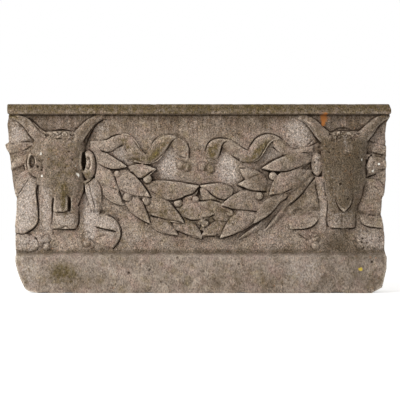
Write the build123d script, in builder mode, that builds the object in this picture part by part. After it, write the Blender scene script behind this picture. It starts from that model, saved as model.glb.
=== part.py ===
from build123d import *
import os
from math import asin, atan, cos, degrees, hypot, radians, sin, sqrt

# A block of carved stone frieze: two ox skulls joined by a hanging swag of laurel leaves, with
# fluttering ribbons that end in berries, between a crowning fillet and a deep plain plinth.
# It is one piece of stone, worn, and broken at both ends. Sizes are in millimetres.
# X runs along the frieze, Y goes into the wall, Z is up, and the bed face lies at Z = 0.

# the block
block_length = 1238
block_height = 605
ground_depth = 130
carving_relief = 50
fillet_height = 33
fillet_projection = 27
fillet_rounding = 5
plinth_height = 132
plinth_projection = 25
plinth_splay = 13
bury = 18

# loss of stone at each end, as (height above the bed, depth of the break)
left_break = [
    (0, 112), (3, 83), (13, 66), (42, 51), (74, 40), (100, 34), (177, 34), (215, 32), (260, 37),
    (305, 37), (330, 29), (356, 24), (388, 21), (420, 17), (449, 13), (461, 5), (474, 0),
    (484, 11), (513, 9), (541, 6), (567, 11), (586, 8),
]
right_break = [
    (0, 62), (8, 49), (18, 30), (39, 24), (74, 16), (113, 14), (138, 20), (183, 19), (221, 24),
    (253, 32), (295, 29), (330, 19), (369, 15), (426, 16), (471, 15), (509, 17), (548, 13),
    (564, 3), (586, 0),
]
left_top_loss = 9
right_top_loss = 8

# All that is carved is placed from the point midway along the underside of the fillet, as
# (reach to the right, rise), with its lift as its height off the carved ground.

# the swag: a bolster of stone under the leaves, on a circular sag
swag_centre = (19, 148)
swag_sag_radius = 460
swag_half_span = 330
swag_half_width = 62
swag_flat_half_width = 26
swag_lengths = 8
swag_lift = 20

# the leaves: root, tip, and how far the blade swells to its left and to its right
blade_ridge_radius = 64
blade_ridge_offset = 7
swag_root_lift = 14
swag_tip_lift = 32
left_leaves = [
    ((-330, -152), (-253, -248), 27, 30),
    ((-317, -210), (-234, -295), 20, 24),
    ((-243, -175), (-134, -176), 19, 25),
    ((-230, -268), (-149, -354), 26, 26),
    ((-160, -335), (-64, -387), 21, 21),
    ((-160, -264), (-43, -347), 32, 32),
    ((-83, -341), (10, -400), 24, 24),
    ((-272, -184), (-149, -266), 31, 28),
    ((-64, -299), (54, -317), 28, 30),
    ((-166, -229), (5, -229), 18, 31),
    ((-339, -127), (-224, -162), 26, 26),
]
right_leaves = [
    ((294, -261), (208, -367), 17, 17),
    ((365, -191), (275, -290), 22, 22),
    ((250, -299), (122, -399), 19, 19),
    ((93, -341), (13, -391), 21, 21),
    ((109, -328), (6, -283), 26, 26),
    ((218, -184), (118, -178), 25, 20),
    ((186, -315), (69, -397), 30, 30),
    ((294, -248), (179, -351), 30, 30),
    ((208, -277), (72, -290), 29, 34),
    ((115, -248), (6, -229), 26, 19),
    ((227, -216), (122, -226), 26, 26),
    ((362, -171), (221, -261), 32, 34),
    ((365, -139), (205, -171), 24, 28),
]
outer_root_lift = 8
outer_tip_lift = 16
outer_leaves = [
    ((-520, -165), (-586, -264), 29, 29),
    ((-520, -139), (-612, -159), 24, 24),
    ((538, -146), (618, -165), 19, 19),
    ((540, -205), (600, -262), 22, 22),
]

# the berries: centre and radius
berry_sides = 8
swag_berry_lift = 21
swag_berries = [
    ((-259, -191), 11), ((-226, -264), 14), ((-162, -207), 14), ((-166, -277), 14),
    ((-64, -283), 14), ((-8, -264), 16), ((22, -261), 17), ((240, -197), 13), ((195, -261), 13),
    ((102, -315), 11), ((173, -325), 13),
]
ground_berry_lift = 4
ground_berries = [
    ((-54, -162), 14), ((-34, -168), 14), ((14, -166), 15), ((42, -174), 14), ((-358, -389), 14),
    ((-358, -411), 14), ((-486, -399), 13), ((-486, -424), 13), ((378, -395), 14),
    ((378, -421), 14), ((518, -402), 11), ((522, -421), 11),
]

# the ribbons: the two edges of each fold, then the lift of each edge at its start and end
left_upper_ribbon = [
    (
        [(-345, -86), (-298, -82), (-275, -72), (-250, -64), (-234, -68)],
        [(-345, -118), (-294, -124), (-275, -117), (-254, -104), (-234, -84)],
        (7, 9), (5, 7),
    ),
    (
        [(-259, -70), (-237, -61), (-214, -69), (-195, -91), (-179, -117), (-162, -134)],
        [(-259, -86), (-241, -91), (-230, -111), (-221, -130), (-208, -144), (-184, -155)],
        (10, 20), (8, 14),
    ),
    (
        [(-192, -144), (-173, -136), (-154, -104), (-138, -82), (-122, -69), (-99, -63), (-70, -66)],
        [(-207, -150), (-170, -158), (-138, -153), (-118, -137), (-99, -107), (-83, -83), (-70, -76)],
        (11, 14), (18, 22),
    ),
    (
        [(-96, -66), (-70, -67), (-51, -75), (-35, -91), (-29, -115), (-30, -142)],
        [(-96, -82), (-86, -98), (-77, -117), (-64, -131), (-50, -141), (-38, -148)],
        (13, 9), (8, 6),
    ),
]
right_upper_ribbon = [
    (
        [(370, -98), (342, -105), (317, -106), (294, -101), (278, -85), (256, -72), (246, -74)],
        [(370, -122), (333, -120), (310, -123), (288, -130), (272, -131), (254, -118), (240, -93)],
        (7, 10), (5, 7),
    ),
    (
        [(262, -75), (246, -66), (224, -63), (205, -68), (186, -79), (173, -98), (155, -125),
         (134, -139)],
        [(260, -80), (237, -86), (224, -101), (214, -118), (202, -136), (186, -149), (160, -154),
         (134, -149)],
        (14, 11), (22, 17),
    ),
    (
        [(164, -118), (144, -108), (122, -91), (102, -80), (83, -77), (64, -76)],
        [(144, -141), (128, -139), (112, -133), (96, -120), (80, -104), (66, -96)],
        (16, 9), (11, 7),
    ),
    (
        [(99, -78), (77, -76), (58, -76), (42, -85), (29, -104), (24, -123), (28, -144)],
        [(99, -84), (83, -88), (74, -101), (70, -121), (64, -139), (51, -149), (37, -153)],
        (12, 9), (20, 12),
    ),
]
outer_ribbons = [
    (
        [(-630, -91), (-608, -91), (-576, -88), (-525, -91)],
        [(-630, -127), (-595, -123), (-560, -120), (-520, -110)],
        (9, 9), (12, 6),
    ),
    (
        [(540, -84), (576, -91), (602, -99), (630, -106)],
        [(540, -116), (570, -123), (602, -129), (630, -135)],
        (6, 9), (5, 12),
    ),
]
# the ribbons that fall beside each skull, from left to right
falls = [
    (
        [(-538, -207), (-573, -258), (-590, -300), (-592, -345), (-590, -378)],
        [(-509, -210), (-520, -248), (-515, -300), (-516, -348), (-556, -381)],
        (9, 12), (15, 17),
    ),
    (
        [(-352, -207), (-358, -229), (-362, -258), (-358, -284), (-346, -309)],
        [(-329, -198), (-310, -230), (-306, -258), (-310, -290), (-320, -319)],
        (9, 7), (14, 9),
    ),
    (
        [(352, -220), (326, -258), (301, -290), (294, -316)],
        [(384, -204), (380, -242), (386, -276), (390, -313)],
        (5, 5), (11, 8),
    ),
    (
        [(536, -204), (531, -236), (522, -264), (512, -296), (512, -316)],
        [(572, -210), (585, -250), (592, -285), (590, -305), (590, -324)],
        (12, 9), (8, 6),
    ),
]
# the turned-up end at the foot of each fall, and its under side
curls = [
    (
        [(-590, -385), (-557, -383), (-541, -390), (-522, -398), (-510, -412)],
        [(-590, -432), (-570, -437), (-544, -440), (-522, -436), (-508, -422)],
        (13, 9), (11, 8),
    ),
    (
        [(-346, -312), (-323, -322), (-298, -325), (-275, -332), (-259, -344), (-248, -367)],
        [(-340, -354), (-320, -360), (-300, -365), (-282, -369), (-268, -372), (-252, -380)],
        (14, 12), (20, 15),
    ),
    (
        [(-346, -374), (-322, -374), (-300, -374), (-280, -376), (-262, -378), (-248, -376)],
        [(-344, -390), (-325, -410), (-300, -422), (-280, -427), (-262, -420), (-250, -398)],
        (12, 14), (8, 9),
    ),
    (
        [(288, -338), (310, -325), (342, -323), (365, -321), (390, -312)],
        [(296, -368), (326, -367), (352, -362), (374, -350), (390, -330)],
        (7, 9), (17, 19),
    ),
    (
        [(512, -309), (531, -318), (557, -325), (592, -326)],
        [(512, -325), (522, -343), (540, -356), (592, -363)],
        (9, 8), (18, 15),
    ),
]

bone_sides = 9

# the skulls: how far each stands from the end of the block, and its sections down the face as
# (drop below the fillet, reach of the left side, reach of the right side, lift); each section
# has the same rounded profile, as shares of its half width and its lift
left_skull_inset = 179
right_skull_inset = 153
skull_profile = [(0.22, 1.0), (0.55, 0.94), (0.8, 0.77), (0.95, 0.45), (1.0, 0.0)]
left_skull_sections = [
    (53, -40, 40, 20), (62, -58, 56, 35), (82, -72, 72, 44), (107, -77, 77, 48),
    (146, -70, 70, carving_relief), (184, -69, 70, 48), (210, -70, 76, 46), (242, -69, 75, 42),
    (268, -60, 70, 36), (290, -42, 60, 29), (306, -31, 58, 27), (331, -30, 58, 26),
    (366, -29, 54, 24),
]
right_skull_sections = [
    (53, -31, 46, 20), (62, -50, 62, 35), (82, -68, 76, 44), (107, -76, 77, 48),
    (146, -69, 71, carving_relief), (184, -69, 71, 48), (210, -68, 72, 46), (242, -60, 65, 42),
    (274, -55, 54, 34), (300, -53, 45, 28), (331, -54, 41, 26), (363, -47, 36, 24),
]
poll_drop = 60
poll_half_length = 42
poll_flat_share = 0.7
poll_lift = 24
poll_radius = 13

# the nose bone over the open nostrils
nose_half_width = 24
nose_top_drop = 214
nose_end_drop = 309
nose_corner = 9
nose_top_lift = 46
nose_end_lift = 39
nose_roundness = 36
nostril_width = 10
nostril_top_drop = 262
nostril_floor = 9
lip_notch_width = 16
lip_notch_height = 7

# the eye sockets: oval rings beside the face, turned a little outwards
socket_drop = 165
left_skull_socket_reach = 91
right_skull_socket_reach = 89
socket_lift = 30
socket_half_width = 21
socket_half_height = 43
socket_rounding = 8
socket_turn = 20
hollow_half_width = 11
hollow_half_height = 28
hollow_shift = 6
hollow_floor = 9
oval_sides = 14

# the horns: (reach from the middle of the skull, drop, lift, radius)
horn_stations = [
    (50, 84, 18, 23), (80, 58, 18, 20), (105, 31, 14, 16), (129, 15, 11, 12), (156, 8, 7, 7),
]
left_skull_horn_spread = 1.0
right_skull_horn_spread = 0.93

back_y = (ground_depth + carving_relief) / 2
ground_y = back_y - ground_depth
fillet_underside = block_height - fillet_height
# the carved ground as seen from the front, with its origin under the middle of the fillet
ground = Plane(origin=(0, ground_y, fillet_underside), x_dir=(1, 0, 0), z_dir=(0, -1, 0))


def spot(reach, rise, lift):
    """A place on the carving, in the coordinates of the whole block."""
    return Vector(reach, ground_y - lift, fillet_underside + rise)


def heading(reach, rise, lift):
    """A direction on the carving, in the coordinates of the whole block."""
    return Vector(reach, -lift, rise).normalized()


def make_block():
    """The squared block: one section that runs straight from end to end."""
    with BuildPart() as block:
        with BuildSketch(Plane.YZ.offset(-block_length / 2)):
            with BuildLine():
                Polyline(
                    (back_y, 0),
                    (ground_y - plinth_projection, 0),
                    (ground_y - plinth_projection, plinth_height - plinth_splay / 2),
                    (ground_y, plinth_height + plinth_splay / 2),
                    (ground_y, fillet_underside),
                    (ground_y - fillet_projection, fillet_underside),
                    (ground_y - fillet_projection, block_height),
                    (back_y, block_height),
                    close=True,
                )
            make_face()
        extrude(amount=block_length)
        long_edges = block.edges().filter_by(Axis.X)
        top_arris = long_edges.group_by(Axis.Z)[-1].sort_by(Axis.Y)[0]
        fillet(top_arris, fillet_rounding)
    return block.part


def make_broken_outline():
    """Everything between the two broken ends, right through the thickness of the block."""
    left = [(-block_length / 2 + loss, height) for height, loss in left_break]
    right = [(block_length / 2 - loss, height) for height, loss in right_break]
    left_top = (-block_length / 2 + left_top_loss, block_height)
    right_top = (block_length / 2 - right_top_loss, block_height)
    with BuildPart() as outline:
        with BuildSketch(Plane.XZ):
            with BuildLine():
                Polyline(*left, left_top, right_top, *reversed(right), close=True)
            make_face()
        extrude(amount=2 * back_y, both=True)
    return outline.part


def make_bolster():
    """The rounded bolster of stone that carries the leaves of the swag."""
    half_arc = degrees(asin(swag_half_span / swag_sag_radius))
    inner = swag_sag_radius - swag_half_width
    outer = swag_sag_radius + swag_half_width
    with BuildPart() as bolster:
        for step in range(swag_lengths + 1):
            turn = radians(half_arc * (2 * step / swag_lengths - 1))
            outward = Vector(sin(turn), 0, -cos(turn))
            across = Plane(
                origin=spot(*swag_centre, 0), x_dir=outward, z_dir=outward.cross(ground.z_dir)
            )
            with BuildSketch(across):
                with BuildLine():
                    Polyline(
                        (inner, -bury),
                        (inner, 0),
                        (swag_sag_radius - swag_flat_half_width, swag_lift),
                        (swag_sag_radius + swag_flat_half_width, swag_lift),
                        (outer, 0),
                        (outer, -bury),
                        close=True,
                    )
                make_face()
        loft(ruled=True)
    return bolster.part


def make_leaf(root, tip, left_swell, right_swell, root_lift, tip_lift):
    """A laurel leaf with a ridge down its middle, rising from its root to its tip."""
    length = hypot(tip[0] - root[0], tip[1] - root[1])
    along = ((tip[0] - root[0]) / length, (tip[1] - root[1]) / length)
    middle = ((root[0] + tip[0]) / 2, (root[1] + tip[1]) / 2)
    crown = sqrt(blade_ridge_radius**2 - blade_ridge_offset**2)
    with BuildPart() as leaf:
        with BuildSketch(ground.offset(-bury)):
            with BuildLine():
                for start, end, swell in ((root, tip, left_swell), (tip, root, -right_swell)):
                    belly = (middle[0] - along[1] * swell, middle[1] + along[0] * swell)
                    ThreePointArc(start, belly, end)
            make_face()
        extrude(amount=bury + tip_lift + 5)
        for offset in (-blade_ridge_offset, blade_ridge_offset):
            hub = (middle[0] - along[1] * offset, middle[1] + along[0] * offset)
            axle = Plane(
                origin=spot(*hub, (root_lift + tip_lift) / 2 - crown),
                x_dir=heading(-along[1], along[0], 0),
                z_dir=heading(along[0], along[1], (tip_lift - root_lift) / length),
            )
            with Locations(axle):
                Cylinder(blade_ridge_radius, 3 * length, mode=Mode.INTERSECT)
    return leaf.part


def make_berry(centre, radius, lift):
    """A berry, sunk in the stone and cut round in small flats."""
    with BuildPart() as berry:
        with BuildSketch(ground.offset(-bury)):
            with Locations(centre):
                RegularPolygon(radius, berry_sides)
        extrude(amount=bury + lift)
        for turn, next_turn in ((0, 35), (35, 65)):
            height = radius * (sin(radians(next_turn)) - sin(radians(turn)))
            loss = radius * (cos(radians(turn)) - cos(radians(next_turn)))
            with BuildSketch(ground.offset(lift + radius * sin(radians(turn)))):
                with Locations(centre):
                    RegularPolygon(radius * cos(radians(turn)), berry_sides)
            extrude(amount=height, taper=degrees(atan(loss / height)))
    return berry.part


def make_fold(first_edge, second_edge, first_lifts, second_lifts):
    """One fold of ribbon: a band between its two edges, standing on the stone."""
    last = len(first_edge) - 1
    with BuildPart() as fold:
        for step, (start, end) in enumerate(zip(first_edge, second_edge)):
            start_lift = first_lifts[0] + (first_lifts[1] - first_lifts[0]) * step / last
            end_lift = second_lifts[0] + (second_lifts[1] - second_lifts[0]) * step / last
            breadth = hypot(end[0] - start[0], end[1] - start[1])
            across = heading(end[0] - start[0], end[1] - start[1], 0)
            cut = Plane(origin=spot(*start, 0), x_dir=across, z_dir=across.cross(ground.z_dir))
            with BuildSketch(cut):
                with BuildLine():
                    Polyline(
                        (0, -bury),
                        (breadth, -bury),
                        (breadth, end_lift),
                        (0, start_lift),
                        close=True,
                    )
                make_face()
        loft(ruled=True)
    return fold.part


def make_cranium(reach, sections):
    """The bare bone of an ox skull, from the poll between the horns down to the lip."""
    left_half = [(-share, rise) for share, rise in reversed(skull_profile)]
    with BuildPart() as skull:
        for drop, left, right, lift in sections:
            middle = reach + (left + right) / 2
            half_width = (right - left) / 2
            front = []
            for share, rise in left_half + skull_profile:
                front.append((middle + share * half_width, ground_y - rise * lift))
            with BuildSketch(Plane.XY.offset(fillet_underside - drop)):
                with BuildLine():
                    Polyline(
                        *front,
                        (reach + right, ground_y + bury),
                        (reach + left, ground_y + bury),
                        close=True,
                    )
                make_face()
        loft(ruled=True)
    return skull.part


def make_rod(places, radii):
    """A tapering rod with small flats, through a row of places."""
    with BuildPart() as rod:
        for step, radius in enumerate(radii):
            before = places[max(step - 1, 0)]
            after = places[min(step + 1, len(places) - 1)]
            with BuildSketch(Plane(origin=places[step], x_dir=(0, 1, 0), z_dir=after - before)):
                RegularPolygon(radius, bone_sides)
        loft(ruled=True)
    return rod.part


def make_poll(reach):
    """The rough roll of hair between the horns."""
    ends = (-1, -poll_flat_share, poll_flat_share, 1)
    places = [spot(reach + poll_half_length * end, -poll_drop, poll_lift) for end in ends]
    return make_rod(places, (poll_radius / 2, poll_radius, poll_radius, poll_radius / 2))


def make_nose(reach):
    """The long nose bone, rounded across and ending free over the nostrils."""
    length = nose_end_drop - nose_top_drop
    middle = (reach, -(nose_top_drop + nose_end_drop) / 2)
    mean_lift = (nose_top_lift + nose_end_lift) / 2
    with BuildPart() as nose:
        with BuildSketch(ground):
            with Locations(middle):
                RectangleRounded(2 * nose_half_width, length, nose_corner)
        extrude(amount=nose_top_lift + 5)
        axle = Plane(
            origin=spot(*middle, mean_lift - nose_roundness),
            x_dir=(1, 0, 0),
            z_dir=heading(0, -length, nose_end_lift - nose_top_lift),
        )
        with Locations(axle):
            Cylinder(nose_roundness, 3 * length, mode=Mode.INTERSECT)
    return nose.part


def make_nose_cuts(reach, sections):
    """The open nostrils beside the nose bone and the notch in the lip."""
    height = nose_end_drop - nostril_top_drop + nostril_width / 2
    lip_drop, lip_left, lip_right, _ = sections[-1]
    with BuildPart() as cuts:
        with BuildSketch(ground.offset(nostril_floor)):
            for side in (-1, 1):
                beside = reach + side * (nose_half_width + nostril_width / 2)
                with Locations((beside, -nostril_top_drop - height / 2)):
                    Rectangle(nostril_width, height)
            with Locations((reach + (lip_left + lip_right) / 2, -lip_drop)):
                Rectangle(lip_notch_width, 2 * lip_notch_height)
        extrude(amount=carving_relief)
    return cuts.part


def socket_plane(reach, side, lift):
    """The face of an eye socket, turned a little outwards, at a lift off the ground."""
    turn = radians(socket_turn)
    return Plane(
        origin=spot(reach, -socket_drop, lift),
        x_dir=(cos(turn), side * sin(turn), 0),
        z_dir=(side * sin(turn), -cos(turn), 0),
    )


def oval_points(half_width, half_height):
    """Places round an oval."""
    turns = [radians(360 * step / oval_sides) for step in range(oval_sides)]
    return [(half_width * cos(turn), half_height * sin(turn)) for turn in turns]


def make_socket(reach, side):
    """The raised ring of bone round an eye."""
    with BuildPart() as socket:
        for lift, loss in (
            (-bury, 0),
            (socket_lift - socket_rounding, 0),
            (socket_lift, socket_rounding),
        ):
            with BuildSketch(socket_plane(reach, side, lift)):
                with BuildLine():
                    ring = oval_points(socket_half_width - loss, socket_half_height - loss)
                    Polyline(*ring, close=True)
                make_face()
        loft(ruled=True)
    return socket.part


def make_socket_hollow(reach, side):
    """The hollow inside the ring of an eye, nearer to the face."""
    with BuildPart() as hollow:
        with BuildSketch(socket_plane(reach - side * hollow_shift, side, hollow_floor)):
            with BuildLine():
                Polyline(*oval_points(hollow_half_width, hollow_half_height), close=True)
            make_face()
        extrude(amount=carving_relief)
    return hollow.part


def make_horn(reach, side, spread):
    """A short horn that sweeps outwards and up until it meets the fillet."""
    places = []
    for outward, drop, lift, _ in horn_stations:
        places.append(spot(reach + side * spread * outward, -drop, lift))
    return make_rod(places, [radius for _, _, _, radius in horn_stations])


swag_leaves = [make_leaf(*leaf, swag_root_lift, swag_tip_lift) for leaf in left_leaves + right_leaves]
end_leaves = [make_leaf(*leaf, outer_root_lift, outer_tip_lift) for leaf in outer_leaves]
berries = [make_berry(*berry, swag_berry_lift) for berry in swag_berries]
berries += [make_berry(*berry, ground_berry_lift) for berry in ground_berries]
upper_ribbons = [make_fold(*fold) for fold in left_upper_ribbon + right_upper_ribbon]
lower_ribbons = [make_fold(*fold) for fold in outer_ribbons + falls + curls]

skulls = [
    (
        left_skull_inset - block_length / 2,
        left_skull_sections, left_skull_socket_reach, left_skull_horn_spread,
    ),
    (
        block_length / 2 - right_skull_inset,
        right_skull_sections, right_skull_socket_reach, right_skull_horn_spread,
    ),
]
bones = []
hollows = []
noses = []
for reach, sections, socket_reach, horn_spread in skulls:
    bones.append(make_cranium(reach, sections))
    bones.append(make_poll(reach))
    noses.append(make_nose(reach))
    hollows.append(make_nose_cuts(reach, sections))
    for side in (-1, 1):
        bones.append(make_horn(reach, side, horn_spread))
        bones.append(make_socket(reach + side * socket_reach, side))
        hollows.append(make_socket_hollow(reach + side * socket_reach, side))

with BuildPart() as stone:
    add(make_block())
    add(bones)
    add(hollows, mode=Mode.SUBTRACT)
    add(noses)
    add([make_bolster(), *swag_leaves[:12]])
    add(swag_leaves[12:])
    add([*upper_ribbons, *lower_ribbons, *end_leaves])
    add(berries)
    add(make_broken_outline(), mode=Mode.INTERSECT)

frieze_block = stone.part
frieze_block.label = "frieze_block"

os.makedirs("parts", exist_ok=True)
export_step(frieze_block, "parts/frieze_block.step")
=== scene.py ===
import math
import random
import bmesh
import bpy
import numpy as np
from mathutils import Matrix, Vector


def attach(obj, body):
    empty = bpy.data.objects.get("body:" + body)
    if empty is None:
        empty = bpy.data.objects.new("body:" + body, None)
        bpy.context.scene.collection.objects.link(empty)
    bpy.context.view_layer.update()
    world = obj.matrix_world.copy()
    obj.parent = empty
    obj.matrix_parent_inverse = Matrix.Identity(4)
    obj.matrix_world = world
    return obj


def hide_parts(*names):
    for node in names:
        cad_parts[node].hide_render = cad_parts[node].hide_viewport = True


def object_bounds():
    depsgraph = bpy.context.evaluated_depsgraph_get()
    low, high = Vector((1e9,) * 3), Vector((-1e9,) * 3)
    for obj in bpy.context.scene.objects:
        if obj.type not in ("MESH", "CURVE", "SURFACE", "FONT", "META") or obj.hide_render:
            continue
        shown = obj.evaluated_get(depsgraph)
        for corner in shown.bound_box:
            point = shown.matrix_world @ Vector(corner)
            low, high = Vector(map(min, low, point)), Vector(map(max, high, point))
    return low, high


# A weathered block of carved stone frieze: two ox skulls, a swag of laurel and fluttering ribbons.
# Tables are in millimetres and the scene is in metres. All carving is placed by its reach to the
# right, its rise above the underside of the fillet, and its lift off the carved ground.

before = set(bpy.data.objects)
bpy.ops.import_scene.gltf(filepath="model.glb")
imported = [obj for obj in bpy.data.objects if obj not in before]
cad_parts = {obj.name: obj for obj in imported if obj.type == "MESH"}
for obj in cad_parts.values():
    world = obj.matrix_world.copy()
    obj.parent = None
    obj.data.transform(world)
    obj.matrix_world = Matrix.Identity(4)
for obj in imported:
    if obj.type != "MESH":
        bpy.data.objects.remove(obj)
cadLow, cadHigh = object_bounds()
mm = 0.001

blockShape = {
    "length": 1238,
    "height": 605,
    "groundY": -40,          # the carved ground
    "backY": 90,
    "filletHeight": 33,
    "filletStep": 27,
    "plinthHeight": 119,
    "plinthStep": 25,
    "coveHeight": 10,        # soft step from the plinth up to the ground
    "bury": 16,              # how deep each carved form is rooted in the block
    "grain": 1.8,   # voxel size at which all the forms become one stone
    "triangles": 190000,
}
filletUnderside = blockShape["height"] - blockShape["filletHeight"]


def place(reach, rise, lift):
    return (reach * mm, (blockShape["groundY"] - lift) * mm, (filletUnderside + rise) * mm)


# smooth row of points through a few given ones
def smoothPath(points, steps):
    known = np.array([points[0], *points, points[-1]], float)
    row = []
    for i in range(1, len(known) - 2):
        p0, p1, p2, p3 = known[i - 1:i + 3]
        for k in range(steps):
            t = k / steps
            row.append(0.5 * (2 * p1 + (p2 - p0) * t + (2 * p0 - 5 * p1 + 4 * p2 - p3) * t**2
                              + (3 * p1 - p0 - 3 * p2 + p3) * t**3))
    row.append(known[-2])
    return np.array(row)


stoneForms = bmesh.new()     # every carved form as a closed shell, before they grow together


# a closed shell from rings of points, each ring in the same order
def addRings(rings):
    count = len(rings[0])
    corners = [stoneForms.verts.new(point) for ring in rings for point in ring]
    faces = []
    for i in range(len(rings) - 1):
        near, far = i * count, (i + 1) * count
        for k in range(count):
            nextK = (k + 1) % count
            faces.append((near + k, near + nextK, far + nextK, far + k))
    faces += [range(count)[::-1], range(len(corners) - count, len(corners))]
    for face in faces:
        stoneForms.faces.new([corners[i] for i in face])


# a patch of carved surface, as rows of (reach, rise, lift), standing on a root inside the block
def addPatch(rows):
    rings = []
    for row in rows:
        top = [place(*point) for point in row]
        under = [place(point[0], point[1], -blockShape["bury"]) for point in row[::-1]]
        rings.append(top + under)
    addRings(rings)


# a round bar through stations of (reach, rise, lift, radius)
def addBar(stations, steps, sides):
    path = smoothPath(stations, steps)
    rings = []
    for i, (reach, rise, lift, radius) in enumerate(path):
        before, after = path[max(i - 1, 0)], path[min(i + 1, len(path) - 1)]
        ahead = Vector(after[:3] - before[:3]).normalized()
        across = ahead.cross(Vector((0, 0, 1))).normalized()
        out = across.cross(ahead)
        ring = []
        for k in range(sides):
            turn = 2 * math.pi * k / sides
            move = across * (radius * math.cos(turn)) + out * (radius * math.sin(turn))
            ring.append(place(reach + move.x, rise + move.y, lift + move.z))
        rings.append(ring)
    addRings(rings)


# The block itself, in level courses from the bed to the top
breaks = {
    "left": [(0, 112), (3, 83), (13, 66), (42, 51), (74, 40), (100, 34), (177, 34), (215, 32),
             (260, 37), (305, 37), (330, 29), (356, 24), (388, 21), (420, 17), (449, 13), (461, 5),
             (474, 0), (484, 11), (513, 9), (541, 6), (567, 11), (586, 8), (605, 9)],
    "right": [(0, 62), (8, 49), (18, 30), (39, 24), (74, 16), (113, 14), (138, 20), (183, 19),
              (221, 24), (253, 32), (295, 29), (330, 19), (369, 15), (426, 16), (471, 15),
              (509, 17), (548, 13), (564, 3), (586, 0), (605, 8)],
    "roughness": 9,          # how far the broken faces fall back behind their front outline
    "lumps": [(46, 0.6), (17, 0.28), (7, 0.12)],   # sizes of the lumps, and each one's share
    "spacing": 6,            # between the level courses
    "frontSteps": 40,
    "sideSteps": 19,
    "backSteps": 20,
    "seed": 7,
}


# smooth random value in 0 to 1 over two directions, for the broken faces
def softRandom(lattice, a, b):
    size = len(lattice)
    a0, b0 = int(math.floor(a)), int(math.floor(b))
    ta, tb = a - a0, b - b0
    ta, tb = ta * ta * (3 - 2 * ta), tb * tb * (3 - 2 * tb)
    v = [[lattice[(a0 + i) % size, (b0 + j) % size] for j in (0, 1)] for i in (0, 1)]
    return (v[0][0] * (1 - ta) + v[1][0] * ta) * (1 - tb) + (v[0][1] * (1 - ta) + v[1][1] * ta) * tb


def makeBlock():
    shape = blockShape
    half, ground = shape["length"] / 2, shape["groundY"]
    plinth, band = -shape["plinthStep"], -shape["filletStep"]
    low, high, top = shape["plinthHeight"], filletUnderside, shape["height"]
    # (height, how far the front stands from the carved ground)
    front = [(0, plinth), (low - 4, plinth), (low, plinth + 2), (low + 4, plinth + 9),
             (low + 7, plinth + 17),
             (low + shape["coveHeight"], 0), (high - 2, 0), (high + 0.5, -2), (high + 1.5, band + 1),
             (high + 3, band), (top - 6, band), (top - 2, band + 1.5), (top, band + 5)]
    spacing, frontSteps = breaks["spacing"], breaks["frontSteps"]
    sideSteps, backSteps = breaks["sideSteps"], breaks["backSteps"]
    heights = sorted({z for z, _ in front} | set(range(spacing, top - 5, spacing)))
    stands = np.interp(heights, *zip(*front))
    lattice = np.random.default_rng(breaks["seed"]).random((32, 32))
    rings = []
    for z, stand in zip(heights, stands):
        leftEnd = np.interp(z, *zip(*breaks["left"])) - half
        rightEnd = half - np.interp(z, *zip(*breaks["right"]))
        ring = []
        for i in range(frontSteps + 1):
            share = i / frontSteps
            x = leftEnd * (1 - share) + rightEnd * share
            ring.append((x * mm, (ground + stand) * mm, z * mm))
        depth = shape["backY"] - ground - stand
        for end, sign, steps in ((rightEnd, 1, range(1, sideSteps)),
                                 (leftEnd, -1, range(sideSteps - 1, 0, -1))):
            for k in steps:
                y = ground + stand + depth * k / sideSteps
                inward = 0
                for size, share in breaks["lumps"]:
                    inward += share * softRandom(lattice, y / size + 9 * sign, z / size + 3)
                fade = min(1, k / 4, (sideSteps - k) / 2)
                ring.append(((end - sign * breaks["roughness"] * inward * fade) * mm, y * mm, z * mm))
            if sign > 0:             # along the back, from the right end to the left
                for k in range(backSteps + 1):
                    x = rightEnd + (leftEnd - rightEnd) * k / backSteps
                    ring.append((x * mm, shape["backY"] * mm, z * mm))
        rings.append(ring)
    addRings(rings)


makeBlock()
print("block built")

# The swag: a rounded bolster under the leaves, on a circular sag
swagShape = {
    "centre": (19, 148),
    "sagRadius": 460,
    "halfSpan": 330,
    "halfWidth": 62,
    "lift": 12,
}


def makeBolster():
    halfTurn = math.asin(swagShape["halfSpan"] / swagShape["sagRadius"])
    rows = []
    for i in range(61):
        turn = halfTurn * (i / 30 - 1)
        ends = min(1, (1 - abs(i / 30 - 1)) * 6 + 0.2)
        row = []
        for k in range(17):
            share = k / 8 - 1
            radius = swagShape["sagRadius"] + share * swagShape["halfWidth"]
            lift = swagShape["lift"] * ends * (1 - abs(share) ** 2.6)
            row.append((swagShape["centre"][0] + radius * math.sin(turn),
                        swagShape["centre"][1] - radius * math.cos(turn), lift))
        rows.append(row)
    addPatch(rows)


makeBolster()

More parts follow.
